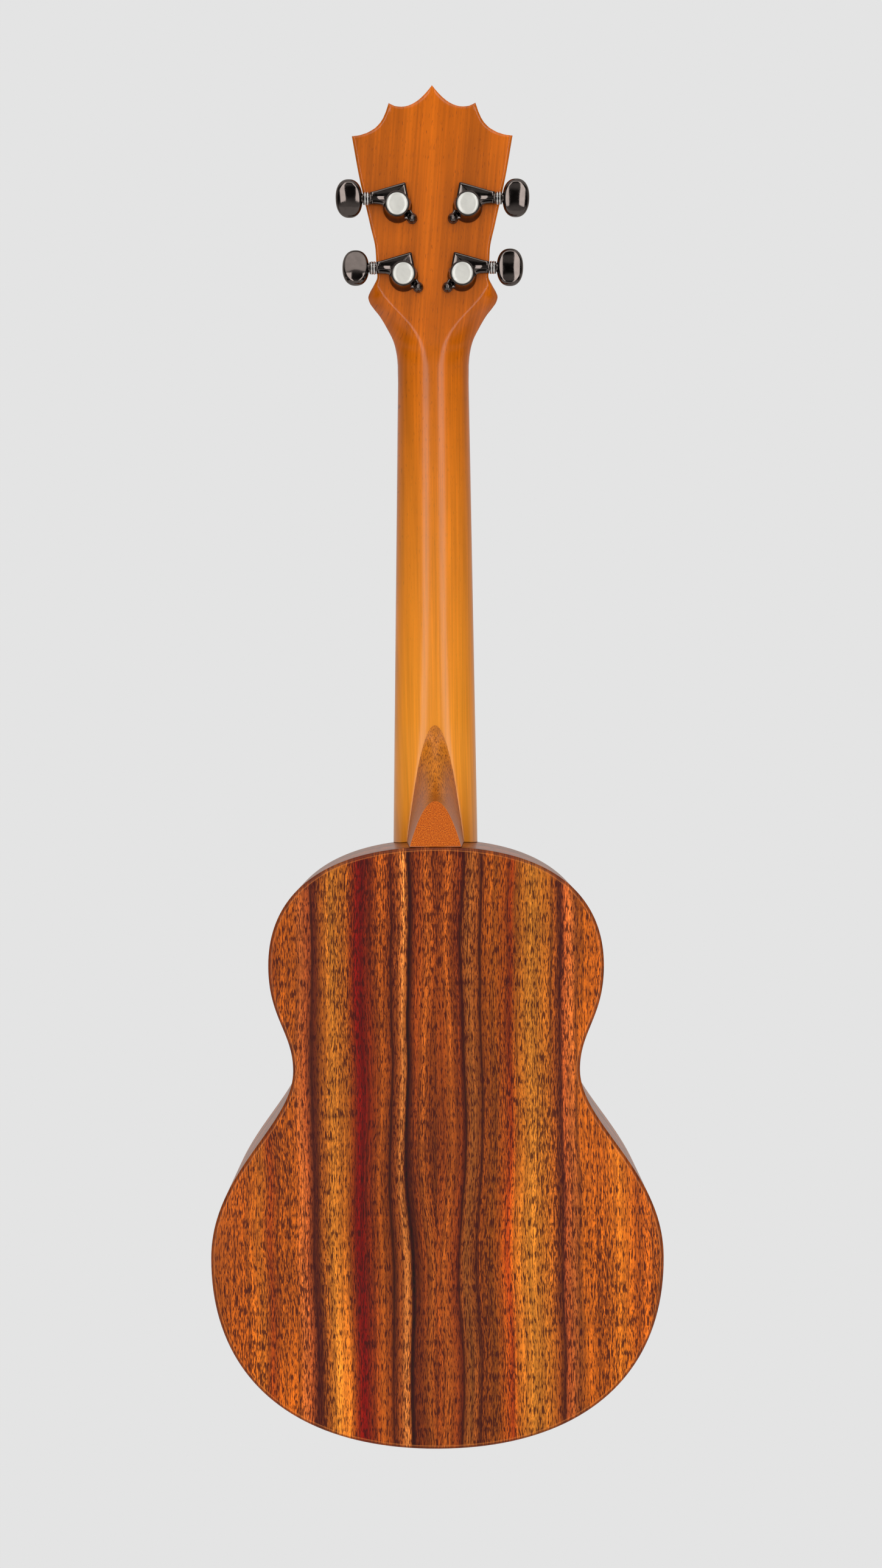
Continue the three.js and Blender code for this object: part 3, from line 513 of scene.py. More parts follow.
def bent_koa(name):
    """Koa whose grain runs round the bent sides, along the distances that the piece carries."""
    finish = Finish(name)
    along = finish.layer("around")
    across = finish.layer("over")
    drift = finish.stretch(finish.grain(across, along, 20.0, 6.0), 0.3, 0.7, -4 * MM, 4 * MM)
    place = finish.math("ADD", across, drift)
    tint = finish.ramp(finish.math("DIVIDE", place, 80 * MM), SIDE_STOPS)
    tint = wood_marks(finish, place, along, tint)
    return finish.set(
        Base_Color=tint, Roughness=0.32, Coat_Weight=0.15, Coat_Roughness=0.12, Specular_IOR_Level=0.3
    )


def honey_wood(name, rgb):
    """Straight-grained satin wood: soft broad bands, faint fine lines and a few short pores.

    Towards the body the colour turns lighter and yellower."""
    finish = Finish(name)
    x, y, z = finish.place()
    across = finish.math("ADD", x, finish.times(y, 0.35))
    bands = finish.stretch(finish.grain(across, z, 120.0, 5.0), 0.25, 0.75)
    lines = finish.grain(across, z, 900.0, 14.0, 4.0, 3.0)
    ripple = finish.grain(across, z, 70.0, 60.0, 9.0, 1.0)
    tint = finish.ramp(bands, ((0, scaled(rgb, 0.84)), (0.5, rgb), (1, scaled(rgb, 1.1, 4))))
    tint = finish.shade(tint, finish.stretch(lines, 0.3, 0.7, 0.83, 1.17))
    tint = finish.shade(tint, finish.stretch(ripple, 0.3, 0.7, 0.95, 1.05))
    pore = finish.stretch(finish.grain(across, z, 2500.0, 260.0, 2.0, 1.0), 0.65, 0.71)
    tint = finish.mix(finish.times(pore, 0.6), tint, linear((96, 42, 14)))
    finish.bump(lines, 0.04, 0.05 * MM)
    lower = finish.stretch(z, -0.23, 0.0, 0.85, 0.0)
    yellow = finish.shade(linear((236, 150, 44)), finish.stretch(lines, 0.3, 0.7, 0.86, 1.14))
    tint = finish.mix(lower, tint, yellow)
    return finish.set(
        Base_Color=tint, Roughness=0.3, Coat_Weight=0.4, Coat_Roughness=0.16, Specular_IOR_Level=0.08
    )


def heel_wood(name, rgb):
    """Open-pored wood: dense dashes that follow the heel's arch, end grain on its flat face.

    Low down on the block the flanks are paler with a painted sheen, and the crest between them is darker
    with painted shade."""
    finish = Finish(name)
    x, y, z = finish.place()
    out = finish.math("ABSOLUTE", x)
    depth = finish.times(finish.math("SUBTRACT", y, GLUE_LINE), 0.8)
    curve = finish.times(finish.times(x, x), 190.0)
    arch = finish.math("ADD", finish.math("ADD", z, depth), curve)
    strands = finish.vector(finish.times(x, 3600.0), finish.times(y, 500.0), finish.times(arch, 1100.0))
    pore = finish.stretch(finish.noise(strands, detail=1.0), 0.53, 0.6)
    spots = finish.noise(finish.vector(*(finish.times(axis, 160.0) for axis in (x, y, z))))
    side = finish.shade(rgb, finish.stretch(spots, 0.3, 0.7, 0.8, 1.12))
    side = finish.mix(finish.times(pore, 0.72), side, linear((80, 28, 8)))
    # painted shade: the crest between the flanks is darkened, low down on the block
    painted_ridge_shade = finish.stretch(out, 0.0, 6 * MM, 0.75, 0.0)
    low = finish.stretch(z, HEEL_FOOT + 16 * MM, HEEL_FOOT + 34 * MM, 1.0, 0.0)
    side = finish.mix(finish.times(painted_ridge_shade, low), side, linear((112, 34, 8)))
    # painted sheen: low down, the hollow sides are paled towards a mauve grey, as a reflection would show
    painted_flank_sheen = finish.stretch(out, 3 * MM, 7 * MM, 0.0, 0.7)
    lower_half = finish.stretch(z, HEEL_FOOT + 22 * MM, HEEL_FOOT + 46 * MM, 1.0, 0.0)
    side = finish.mix(finish.times(painted_flank_sheen, lower_half), side, linear((172, 108, 86)))
    specks = finish.grain(x, z, 2400.0, 1900.0, detail=1.0)
    end = finish.ramp(finish.stretch(specks, 0.3, 0.7), END_GRAIN_STOPS)
    tint = finish.mix(finish.layer("face"), side, end)
    finish.bump(finish.math("SUBTRACT", 1.0, pore), 0.15, 0.05 * MM)
    return finish.set(
        Base_Color=tint, Roughness=0.42, Coat_Weight=0.12, Coat_Roughness=0.2, Specular_IOR_Level=0.14
    )


def dark_wood(name, rgb):
    """Ebony-like wood: nearly black, with faint brown streaks and fine open pores."""
    finish = Finish(name)
    x, _, z = finish.place()
    streak = finish.stretch(finish.grain(x, z, 500.0, 9.0, detail=3.0), 0.3, 0.7)
    pore = finish.stretch(finish.grain(x, z, 2600.0, 260.0, 5.0), 0.6, 0.68)
    tint = finish.ramp(streak, ((0, scaled(rgb, 0.6)), (0.7, rgb), (1, scaled(rgb, 1.5))))
    tint = finish.mix(finish.times(pore, 0.7), tint, linear((14, 9, 8)))
    finish.bump(finish.math("SUBTRACT", 1.0, pore), 0.3, 0.05 * MM)
    return finish.set(Base_Color=tint, Roughness=0.42, Coat_Weight=0.2, Coat_Roughness=0.3)


def bare_wood(name, rgb):
    """Unvarnished inner wood with close, even growth lines."""
    finish = Finish(name)
    x, y, z = finish.place()
    lines = finish.grain(finish.math("ADD", x, y), z, 700.0, 12.0, detail=3.0)
    stops = ((0, scaled(rgb, 0.8)), (0.6, rgb), (1, scaled(rgb, 1.08)))
    tint = finish.ramp(finish.stretch(lines, 0.3, 0.7), stops)
    finish.bump(lines, 0.1, 0.05 * MM)
    return finish.set(Base_Color=tint, Roughness=0.7)


def polished_metal(name, rgb, roughness=0.07):
    """Plated metal with faint polishing marks and a slightly uneven gloss."""
    finish = Finish(name)
    marks = finish.noise(finish.coordinates(), scale=2600.0)
    clouds = finish.noise(finish.coordinates(), scale=420.0)
    tint = finish.ramp(finish.stretch(clouds, 0.3, 0.7), ((0, scaled(rgb, 0.92)), (1, rgb)))
    finish.bump(marks, 0.02, 0.01 * MM)
    rough = finish.stretch(clouds, 0.3, 0.7, roughness * 0.8, roughness * 1.3)
    return finish.set(Base_Color=tint, Metallic=1.0, Roughness=rough)


def satin_cap(name, rgb):
    """Silvery white satin: fine brushing, a slow pearly change of shade and a darker rim."""
    finish = Finish(name)
    x, y, z = finish.place()
    cloud = finish.noise(finish.coordinates(), scale=260.0)
    brush = finish.noise(finish.vector(finish.times(x, 500.0), y, finish.times(z, 9000.0)))
    tint = finish.ramp(finish.stretch(cloud, 0.3, 0.7), ((0, scaled(rgb, 0.95)), (1, rgb)))
    tint = finish.shade(tint, finish.stretch(brush, 0.3, 0.7, 0.97, 1.03))
    rim = finish.stretch(finish.layer("rim"), 0.0, 0.5 * MM, 0.5, 0.0)
    tint = finish.mix(rim, tint, linear((90, 86, 82)))
    return finish.set(Base_Color=tint, Metallic=0.25, Roughness=0.34, Coat_Weight=0.6, Coat_Roughness=0.08)


def bone(name):
    """Polished bone: ivory white with faint yellow clouds and short fibres."""
    finish = Finish(name)
    cloud = finish.noise(finish.coordinates(), scale=180.0, detail=3.0)
    fibre = finish.noise(finish.coordinates(), scale=2600.0)
    tint = finish.ramp(finish.stretch(cloud, 0.3, 0.7), ((0, (226, 214, 184)), (1, (240, 234, 216))))
    tint = finish.shade(tint, finish.stretch(fibre, 0.3, 0.7, 0.96, 1.02))
    finish.bump(fibre, 0.04, 0.02 * MM)
    return finish.set(Base_Color=tint, Roughness=0.3, Subsurface_Weight=0.1, Subsurface_Scale=1 * MM)


def clear_string(name):
    """Smooth pale fluorocarbon: nearly clear, with a faint warm tint along it."""
    finish = Finish(name)
    cloud = finish.noise(finish.coordinates(), scale=90.0)
    tint = finish.ramp(finish.stretch(cloud, 0.3, 0.7), ((0, (206, 200, 190)), (1, (228, 222, 210))))
    return finish.set(Base_Color=tint, Roughness=0.18, Coat_Weight=0.5, Coat_Roughness=0.05)


def shell_inlay(name):
    """Mother of pearl: slow iridescent clouds under a clear polish."""
    finish = Finish(name)
    cloud = finish.noise(finish.coordinates(), scale=320.0, detail=3.0, roughness=0.6)
    tint = finish.ramp(finish.stretch(cloud, 0.3, 0.7), PEARL_STOPS)
    return finish.set(Base_Color=tint, Roughness=0.2, Coat_Weight=0.8, Coat_Roughness=0.05)


FINISHES = {}


def finish_for(name):
    """The shared material of that name, made the first time that a piece asks for it."""
    if name not in FINISHES:
        shades = bpy.context.scene.ukulele_colours
        makers = {
            "koa back": lambda: book_matched("koa back"),
            "koa sides": lambda: bent_koa("koa sides"),
            "neck wood": lambda: honey_wood("neck wood", everyday(shades.neck)),
            "heel wood": lambda: heel_wood("heel wood", tuple(shades.heel)),
            "dark wood": lambda: dark_wood("dark wood", everyday(shades.ebony)),
            "spruce": lambda: bare_wood("spruce", everyday(shades.spruce)),
            "lining wood": lambda: bare_wood("lining wood", (178, 126, 78)),
            "black chrome": lambda: polished_metal("black chrome", everyday(shades.metal)),
            "silver": lambda: polished_metal("silver", (236, 234, 230), 0.32),
            "fret wire": lambda: polished_metal("fret wire", (206, 204, 198), 0.2),
            "brass": lambda: polished_metal("brass", (206, 164, 90), 0.25),
            "cap": lambda: satin_cap("cap", everyday(shades.cap)),
            "bone": lambda: bone("bone"),
            "string": lambda: clear_string("string"),
            "shell": lambda: shell_inlay("shell"),
        }
        FINISHES[name] = makers[name]()
    return FINISHES[name]


def everyday(rgb):
    """A colour property as everyday 0 to 255 values."""
    share = np.array(rgb, float)
    shown = np.where(share <= 0.0031308, share * 12.92, 1.055 * share ** (1 / 2.4) - 0.055)
    return tuple(float(v) for v in shown * 255)


# ------------------------------------------------------------------ body


def half_outline(count=44):
    """The treble half of the body's outline as (x, z), from the top centre to the foot.

    Four cubic curves meet where the outline runs straight down: at the upper bout, waist and
    lower bout. Each handle is a share of the drop or width between its ends."""
    size = bpy.context.scene.ukulele_body
    upper, waist, lower = size.upper_half, size.waist_half, size.lower_half
    up, mid, low = size.upper_drop, size.waist_drop, size.lower_drop
    tail = BODY_LENGTH - low
    curves = (
        ((0, 0), (upper * 0.67, 0), (upper, up * 0.39), (upper, up)),
        ((upper, up), (upper, up + (mid - up) * 0.5), (waist, mid - (mid - up) * 0.37), (waist, mid)),
        ((waist, mid), (waist, mid + (low - mid) * 0.29), (lower, low - (low - mid) * 0.46), (lower, low)),
        ((lower, low), (lower, low + tail * 0.63), (lower * 0.63, BODY_LENGTH), (0, BODY_LENGTH)),
    )
    t = np.linspace(0, 1, count)[:-1, None]
    weights = np.concatenate([(1 - t) ** 3, 3 * t * (1 - t) ** 2, 3 * t * t * (1 - t), t**3], 1)
    points = np.concatenate([weights @ np.array(curve) for curve in curves] + [[[0, BODY_LENGTH]]])
    return np.stack([points[:, 0], BODY_TOP - points[:, 1]], -1)


def body_loop():
    """The whole outline as a closed loop: the treble half down and its mirror image back up."""
    half = half_outline()
    return np.concatenate([half, half[1:-1][::-1] * [-1, 1]])


def edge_rings(radius, steps=6):
    """(inset, depth) pairs round a quarter circle from the side wall on to the flat face."""
    angle = np.linspace(0, np.pi / 2, steps)
    return [(radius * (1 - math.cos(a)), radius * (1 - math.sin(a))) for a in angle]


def body_plate(rings, y_of):
    """Rings of the body's outline, each moved in by its inset and placed at its depth."""
    loop = body_loop()
    points, rim = [], []
    for inset, depth in rings:
        ring = moved_in(loop, inset)
        points.append(np.stack([ring[:, 0], y_of(ring[:, 1], depth), ring[:, 1]], -1))
        rim.append(np.full(len(loop), inset))
    return np.array(points), np.array(rim)


class UKULELE_OT_back(Operator):
    """Make the flat, book-matched back with its rounded edge"""

    bl_idname = "ukulele.make_back"
    bl_label = "Back"

    def execute(self, context):
        size = context.scene.ukulele_body
        flat = [(inset, 0.0) for inset in (1.6 * MM, 2.0 * MM, 2.6 * MM, 4 * MM)]
        rings = [(0.0, PLATE_BACK), *edge_rings(size.edge_round), *flat]
        points, rim = body_plate(rings, lambda z, depth: back_y(z) - depth)
        faces = tube_faces(*points.shape[:2])
        make_piece(
            "back_book_matched", points, faces, finish_for("koa back"), stands_for=["back_plate"],
            slot="koa_back", rim=rim,
        )
        return {"FINISHED"}


def side_surface(side):
    """One bent side, and each point's distance round the body.

    Columns run from front to back along the outline and forward again along a line that lies
    one wall further in, so each row is a thin closed box."""
    wall = bpy.context.scene.ukulele_body.side_wall
    half = half_outline()
    run = np.gradient(half, axis=0)
    run /= np.linalg.norm(run, axis=1, keepdims=True)
    inner = half + np.stack([run[:, 1], -run[:, 0]], -1) * wall
    inner[:, 0] = np.maximum(inner[:, 0], 0)
    steps = np.linalg.norm(np.diff(half, axis=0), axis=1)
    distance = np.concatenate([[0], np.cumsum(steps)])
    shares = np.linspace(0, 1, 5)
    columns = []
    for line, order in ((half, shares), (inner, shares[::-1])):
        for share in order:
            y = PLATE_FRONT + (back_y(line[:, 1]) - PLATE_BACK - PLATE_FRONT) * share
            columns.append(surface(line[:, 0] * side, y, line[:, 1]))
    points = np.stack(columns, 1)
    return points, np.broadcast_to(distance[:, None], points.shape[:2])


class UKULELE_OT_sides(Operator):
    """Make the two bent sides"""

    bl_idname = "ukulele.make_sides"
    bl_label = "Sides"

    def execute(self, context):
        for name, side in (("treble", 1), ("bass", -1)):
            points, around = side_surface(side)
            make_piece(
                f"side_bent_{name}", points, tube_faces(*points.shape[:2]), finish_for("koa sides"),
                stands_for=[f"side_{name}"], slot="koa_side", around=around, over=points[:, :, 1],
            )
        return {"FINISHED"}


# inner and outer radius of each rosette ring in millimetres, and its finish
ROSETTE = (
    (31.5, 32.3, "dark wood"),
    (32.4, 35.4, "shell"),
    (35.5, 36.3, "dark wood"),
    (38.0, 38.6, "dark wood"),
)


def soundboard_surface():
    """The soundboard as closed loops from the sound hole out to the edge, and their insets.

    Each loop has the outline's points: round the hole they are drawn to its centre on circles."""
    size = bpy.context.scene.ukulele_body
    loop = body_loop()
    centre = np.array([0, BODY_TOP - size.hole_drop])
    turn = np.arctan2(loop[:, 1] - centre[1], loop[:, 0])
    circle = np.stack([np.cos(turn), np.sin(turn)], -1)
    insets = [(4 * MM, 0.0), (2.6 * MM, 0.0), *edge_rings(size.edge_round)[::-1]]
    rings, rim = body_plate(insets, lambda z, depth: z * 0 + depth)
    edge = 0.4 * MM
    hole = ((size.hole_radius, PLATE_FRONT), (size.hole_radius, edge), (size.hole_radius + edge, 0.0))
    hole_rings = []
    for radius, depth in hole:
        ring = centre + circle * radius
        hole_rings.append(surface(ring[:, 0], depth, ring[:, 1]))
    wall = surface(loop[:, 0], PLATE_FRONT, loop[:, 1])
    points = np.array([*hole_rings, *rings, wall])
    far_in = np.full((len(hole_rings), len(loop)), 4 * MM)
    return points, np.concatenate([far_in, rim, np.zeros((1, len(loop)))])


class UKULELE_OT_soundboard(Operator):
    """Make the soundboard round its hole, and the rings of the rosette"""

    bl_idname = "ukulele.make_soundboard"
    bl_label = "Soundboard and rosette"

    def execute(self, context):
        points, rim = soundboard_surface()
        faces = grid_faces(*points.shape[:2], round_rows=True, round_columns=True)
        make_piece(
            "soundboard_fine", points, faces, finish_for("koa back"), stands_for=["soundboard"],
            slot="koa_top", rim=rim,
        )
        hole_z = BODY_TOP - context.scene.ukulele_body.hole_drop
        for number, (inner, outer, finish) in enumerate(ROSETTE, 1):
            profile = np.array([(inner, -0.06), (outer, -0.06), (outer, 0.25), (inner, 0.25)]) * MM
            ring, faces = washer(profile, 160)
            name = f"rosette_ring_{number}"
            make_piece(name, ring + [0, 0, hole_z], faces, finish_for(finish), slot="dark_veneer")
        return {"FINISHED"}


# ------------------------------------------------------------------ neck, head and heel

# up the head from the nut: half its width, half the width of its flat back, the depth of its
# edge and how sharply the flat back breaks into the round of the neck
EAR_ROWS = np.array(
    [
        (6, 18.8, 0.6, 2.4, 0.05),
        (10, 19.1, 1.8, 2.4, 0.2),
        (14.8, 19.9, 3.2, 2.6, 0.4),
        (18.6, 21.0, 4.9, 3.0, 0.55),
        (25, 24.2, 9.0, 4.0, 0.75),
        (31, 27.8, 14.6, 5.4, 0.85),
        (35, 31.0, 18.6, 6.6, 0.85),
        (38, 33.0, 21.4, 7.4, 0.85),
        (40.4, 33.6, 23.8, 8.4, 0.8),
        (43, 32.6, 25.8, 10.0, 0.7),
        (46, 30.7, 28.2, 12.4, 0.3),
        (50.6, 28.6, 27.3, 13.7, 0.0),
        (54, 28.9, 27.6, 13.7, 0.0),
        (63.7, 29.3, 28.0, 13.7, 0.0),
        (75.5, 31.8, 30.5, 13.7, 0.0),
        (99, 37.1, 35.8, 13.7, 0.0),
        (118.4, 40.5, 39.2, 13.7, 0.0),
    ]
) * [MM, MM, MM, MM, 1]


def crown_curve(count=40):
    """The crown from its tip to the outer point: two hollow scallops that meet in a point."""
    size = bpy.context.scene.ukulele_neck
    outer, top = size.crown_half, size.tip_rise
    middle = (outer * 0.546, size.crown_rise + 15.7 * MM)
    first = quadratic((0, top), (outer * 0.272, top - 14.5 * MM), middle, count)
    second = quadratic(middle, (outer * 0.605, size.crown_rise + 1.2 * MM), (outer, size.crown_rise), count)
    return np.concatenate([first, second[1:]])


def head_edge(along):
    """Half the head's width at a distance up from the nut."""
    return smooth_through(along, EAR_ROWS[:, 0], EAR_ROWS[:, 1])


def gentle_minimum(a, b, blend):
    """The smaller of two values, with a round corner where they cross."""
    share = np.clip(0.5 + (b - a) / (2 * blend), 0, 1)
    return b + (a - b) * share - blend * share * (1 - share)


def head_rows(columns, rows):
    """The head's back as (across, depth, along): a flat face that breaks into the neck's round.

    Across a row the depth is flat up to the break and then falls along a mix of a straight slope
    and a quarter oval, down to the depth of the edge. The flat face itself starts as a straight
    line on from the shaft and bends gently on to the head's own plane."""
    along = np.broadcast_to(rows[:, None], (len(rows), len(columns)))
    table = (smooth_through(rows, EAR_ROWS[:, 0], column)[:, None] for column in EAR_ROWS[:, 1:].T)
    half, flat, edge, sharp = table
    across = half * columns
    past = np.clip((np.abs(across) - flat) / (half - flat), 0, 1)
    bend = 0.85  # the share of the slope over which it steepens
    slope = np.where(past < bend, past**2 / (2 * bend), past - bend / 2) / (1 - bend / 2)
    fall = sharp * slope + (1 - sharp) * (1 - np.sqrt(1 - past**2))
    depth_at_nut = bpy.context.scene.ukulele_neck.depth_at_nut
    straight = (depth_at_nut - HEAD_Y - rows * TILT_SIN) / TILT_COS
    thick = -gentle_minimum(-straight, -HEAD_THICK, 2 * MM)[:, None]
    depth = thick - (thick - edge) * fall
    return across, depth, along


def closed_sheet(back, front):
    """Two grids of points, one behind the other, joined all round their border."""
    rows, across = back.shape[:2]
    count = rows * across
    faces = grid_faces(rows, across) + grid_faces(rows, across, first=count)
    border = [r * across for r in range(rows)] + list(range((rows - 1) * across + 1, rows * across))
    border += [r * across + across - 1 for r in range(rows - 2, -1, -1)] + list(range(across - 2, 0, -1))
    faces += [[a, b, b + count, a + count] for a, b in zip(border, border[1:] + border[:1])]
    return np.concatenate([back.reshape(-1, 3), front.reshape(-1, 3)]), faces


def crown_rows(columns, start, across):
    """Rows that close in on the crown from the last straight row, as (across, along, edge).

    Edge is each point's distance to the nearest part of the outline."""
    size = bpy.context.scene.ukulele_neck
    crown = crown_curve()
    reach = columns * size.crown_half
    rim = np.interp(np.abs(reach), crown[:, 0], crown[:, 1])
    close_in = 1 - np.array([0.12, 0.06, 0.03, 0.012, 0.004, 0.0])
    shares = np.concatenate([np.linspace(0.1, 0.8, 8), close_in])
    top_across = across + (reach - across) * shares[:, None]
    top_along = start + (rim - start) * shares[:, None]
    edge = np.concatenate([crown, crown * [-1, 1]])
    spot = np.stack([top_across, top_along], -1)[:, :, None]
    near = np.min(np.linalg.norm(spot - edge, axis=-1), axis=-1)
    side = np.abs(top_across) / np.maximum(head_edge(np.minimum(top_along, size.crown_rise)), 1e-6)
    near = np.minimum(near, np.where(top_along < size.crown_rise, (1 - side) * size.crown_half, near))
    return top_across, top_along, near


# places across the neck and head, closer together towards their edges
NECK_COLUMNS = np.sin(np.linspace(-np.pi / 2, np.pi / 2, 73))
HEAD_ROWS = np.concatenate([np.linspace(6, 52, 60), np.linspace(54, 112, 30)]) * MM
HEEL_FLARE = 5.6 * MM  # how much deeper the shaft grows beside the heel
FOOT_BLEND = 12 * MM  # above the body, where the shaft's foot takes up the body's curve


def neck_surface():
    """The back and front of neck and head as rows of points from the body up to the crown.

    The shaft is half an oval, drawn out a little squarer. The head continues it, and the last
    rows close in on the crown's scallops and round over its edge."""
    columns = NECK_COLUMNS
    size = bpy.context.scene.ukulele_neck
    z = np.linspace(HEEL_FOOT, NUT_LOW + 1 * MM, 70)
    up = (z - HEEL_FOOT) / (NUT_LOW - HEEL_FOOT)
    half = size.half_at_body + (size.half_at_nut - size.half_at_body) * up
    along = np.clip((NUT_LOW - z) / (NUT_LOW - HEEL_TIP), 0, None)
    shaft_depth = size.depth_at_nut + (size.depth_at_heel - size.depth_at_nut) * along**2
    beyond = np.clip((HEEL_TIP - z) / (HEEL_TIP - HEEL_FOOT), 0, 1)
    shaft_depth += HEEL_FLARE * beyond**1.3
    round_off = np.sqrt(np.clip(1 - columns**2, 0, 1)) ** 0.86
    y = gentle_minimum(shaft_depth[:, None] * round_off, GLUE_LINE, 2.5 * MM)
    x = half[:, None] * columns
    outline = half_outline()[:60]
    sag = BODY_TOP - np.interp(np.abs(x), outline[:, 0], outline[:, 1])
    near_body = np.clip(1 - (z - HEEL_FOOT) / FOOT_BLEND, 0, 1)[:, None]
    shaft = surface(x, y, z[:, None] - sag * near_body)
    across, depth, along = head_rows(columns, HEAD_ROWS)
    top_across, top_along, near = crown_rows(columns, HEAD_ROWS[-1], across[-1])
    radius = size.head_round
    lack = radius - np.clip(near, 0, radius)
    top_depth = HEAD_THICK - radius + np.sqrt(radius**2 - lack**2)
    across = np.vstack([across, top_across])
    depth = np.vstack([depth, top_depth])
    along = np.vstack([along, top_along])
    head = on_head(across, depth, along)
    front = on_head(across, VENEER, along)
    shaft_front = shaft.copy()
    shaft_front[:, :, 1] = -GAP
    return np.concatenate([shaft, head]), np.concatenate([shaft_front, front])


class UKULELE_OT_neck(Operator):
    """Carve the neck and head from one piece"""

    bl_idname = "ukulele.make_neck"
    bl_label = "Neck and head"

    def execute(self, context):
        points, faces = closed_sheet(*neck_surface())
        make_piece(
            "neck_carved", points, faces, finish_for("neck wood"), stands_for=["neck"], slot="neck_wood",
            crease=50,
        )
        return {"FINISHED"}


def heel_surface():
    """The heel block from the glue line back to its end face, and which points lie on that face.

    Each row is a parabola that stands on the body's top. Its tip sinks along a quarter circle,
    from the block's tip to the top of the end face, and the last rows close the face."""
    size = bpy.context.scene.ukulele_neck
    share = np.concatenate([np.linspace(0, 1, 40) ** 1.5, [1.0, 1.0]])
    shrink = np.concatenate([np.ones(40), [0.97, 0.9]])[:, None]
    y = GLUE_LINE - GAP + (DEPTH_TOP - GLUE_LINE + GAP) * share
    half = size.heel_foot_half + (size.heel_cap_half - size.heel_foot_half) * share
    cap_top = BODY_TOP + size.heel_cap_rise
    tip = HEEL_TIP - (HEEL_TIP - cap_top) * np.sqrt(1 - (1 - share) ** 2)
    t = np.linspace(-1, 1, 49)
    z = tip[:, None] + (BODY_TOP - tip)[:, None] * t**2
    middle = z[-1].mean()
    points = surface(half[:, None] * t * shrink, y[:, None], middle + (z - middle) * shrink)
    face = np.zeros(z.shape)
    face[-2:] = 1
    return points, face


class UKULELE_OT_heel(Operator):
    """Make the stacked heel block with its end face flush with the back"""

    bl_idname = "ukulele.make_heel"
    bl_label = "Heel block"

    def execute(self, context):
        points, face = heel_surface()
        make_piece(
            "heel_stacked", points, tube_faces(*points.shape[:2]), finish_for("heel wood"),
            stands_for=["heel_block"], slot="heel_wood", face=face,
        )
        return {"FINISHED"}


def veneer_surface():
    """The veneer's back and front: flat sheets inside the head's outline, bevelled in front."""
    rows = np.concatenate([[0.3], np.linspace(3, 52, 60), np.linspace(54, 112, 30)]) * MM
    across = head_edge(rows)[:, None] * NECK_COLUMNS
    top_across, top_along, near_top = crown_rows(NECK_COLUMNS, rows[-1], across[-1])
    near = np.vstack([head_edge(rows)[:, None] - np.abs(across), near_top])
    along = np.vstack([np.broadcast_to(rows[:, None], across.shape), top_along])
    across = np.vstack([across, top_across])
    width = 0.35 * MM
    bevel = width * np.clip(1 - near / width, 0, 1)
    return on_head(across, VENEER - 0.02 * MM, along), on_head(across, bevel, along)


class UKULELE_OT_headplate(Operator):
    """Make the dark veneer on the head's face"""

    bl_idname = "ukulele.make_headplate"
    bl_label = "Head veneer"

    def execute(self, context):
        points, faces = closed_sheet(*veneer_surface())
        make_piece(
            "head_veneer", points, faces, finish_for("dark wood"), stands_for=["headplate"],
            slot="dark_veneer",
        )
        return {"FINISHED"}


# ------------------------------------------------------------------ fretboard, frets and nut


def board_half(z):
    """Half the fretboard's width: it widens evenly from the nut to its end."""
    size = bpy.context.scene.ukulele_neck
    down = (NUT_LOW - z) / (NUT_LOW - BODY_TOP)
    return size.half_at_nut + (size.half_at_body - size.half_at_nut) * down


def fret_z(number):
    """Each fret stands a twelfth root of two nearer the bridge than the one before."""
    return NUT_LOW - SCALE * (1 - 2 ** (-number / 12))


def board_surface():
    """The fretboard as rows from the nut to its end.

    Each row is a box whose two upper edges are rounded by short slopes. The first and last rows
    stand in a little, which breaks the edges at both ends."""
    between = np.linspace(NUT_LOW - 10 * MM, BOARD_END + 4 * MM, 30)
    z = np.array([NUT_LOW, NUT_LOW - 0.3 * MM, *between, BOARD_END + 0.3 * MM, BOARD_END])
    pull = np.array([0.4, *np.zeros(len(z) - 2), 0.4]) * MM
    edge, corner = 0.6 * MM, 0.2 * MM
    half = board_half(z) - pull
    face = BOARD_FACE + pull
    low = np.full(len(z), -GAP)
    across = [-half, -half, corner - half, edge - half, half - edge, half - corner, half, half]
    height = [low, face + edge, face + corner, face, face, face + corner, face + edge, low]
    return surface(np.stack(across, 1), np.stack(height, 1), z[:, None])


# the frets that the dots mark, and each dot's place across the board in millimetres
DOTS = ((5, 0), (7, 0), (10, 0), (12, -9), (12, 9), (15, 0))


class UKULELE_OT_fretboard(Operator):
    """Make the fretboard and its position dots"""

    bl_idname = "ukulele.make_fretboard"
    bl_label = "Fretboard and dots"

    def execute(self, context):
        points = board_surface()
        make_piece(
            "fretboard_fine", points, tube_faces(*points.shape[:2]), finish_for("dark wood"),
            stands_for=["fretboard"], slot="fretboard_wood",
        )
        profile = np.array([(0.01, -0.05), (2.3, -0.05), (2.5, 0.05), (2.5, 0.95), (0.01, 0.95)]) * MM
        dot, faces = turned(profile)
        for number, (fret, x) in enumerate(DOTS, 1):
            middle = (fret_z(fret) + fret_z(fret - 1)) / 2
            placed = dot + [x * MM, BOARD_FACE, middle]
            make_piece(f"position_dot_{number}", placed, faces, finish_for("shell"), slot="bone")
        return {"FINISHED"}


def fret_surface(number):
    """A fret wire: half an ellipse in section, lower and rounded off towards both ends."""
    half = board_half(fret_z(number))
    between = np.linspace(2 * MM - half, half - 2 * MM, 9)
    x = np.array([-half, 0.5 * MM - half, *between, half - 0.5 * MM, half])
    rise = np.array([0.35, 0.8, *np.ones(len(between)), 0.8, 0.35]) * MM
    angle = np.linspace(0, np.pi, 9)
    sunk = 0.2 * MM
    height = BOARD_FACE + sunk - (rise[:, None] + sunk) * np.sin(angle)
    return surface(x[:, None], height, fret_z(number) + np.cos(angle) * 1.0 * MM)


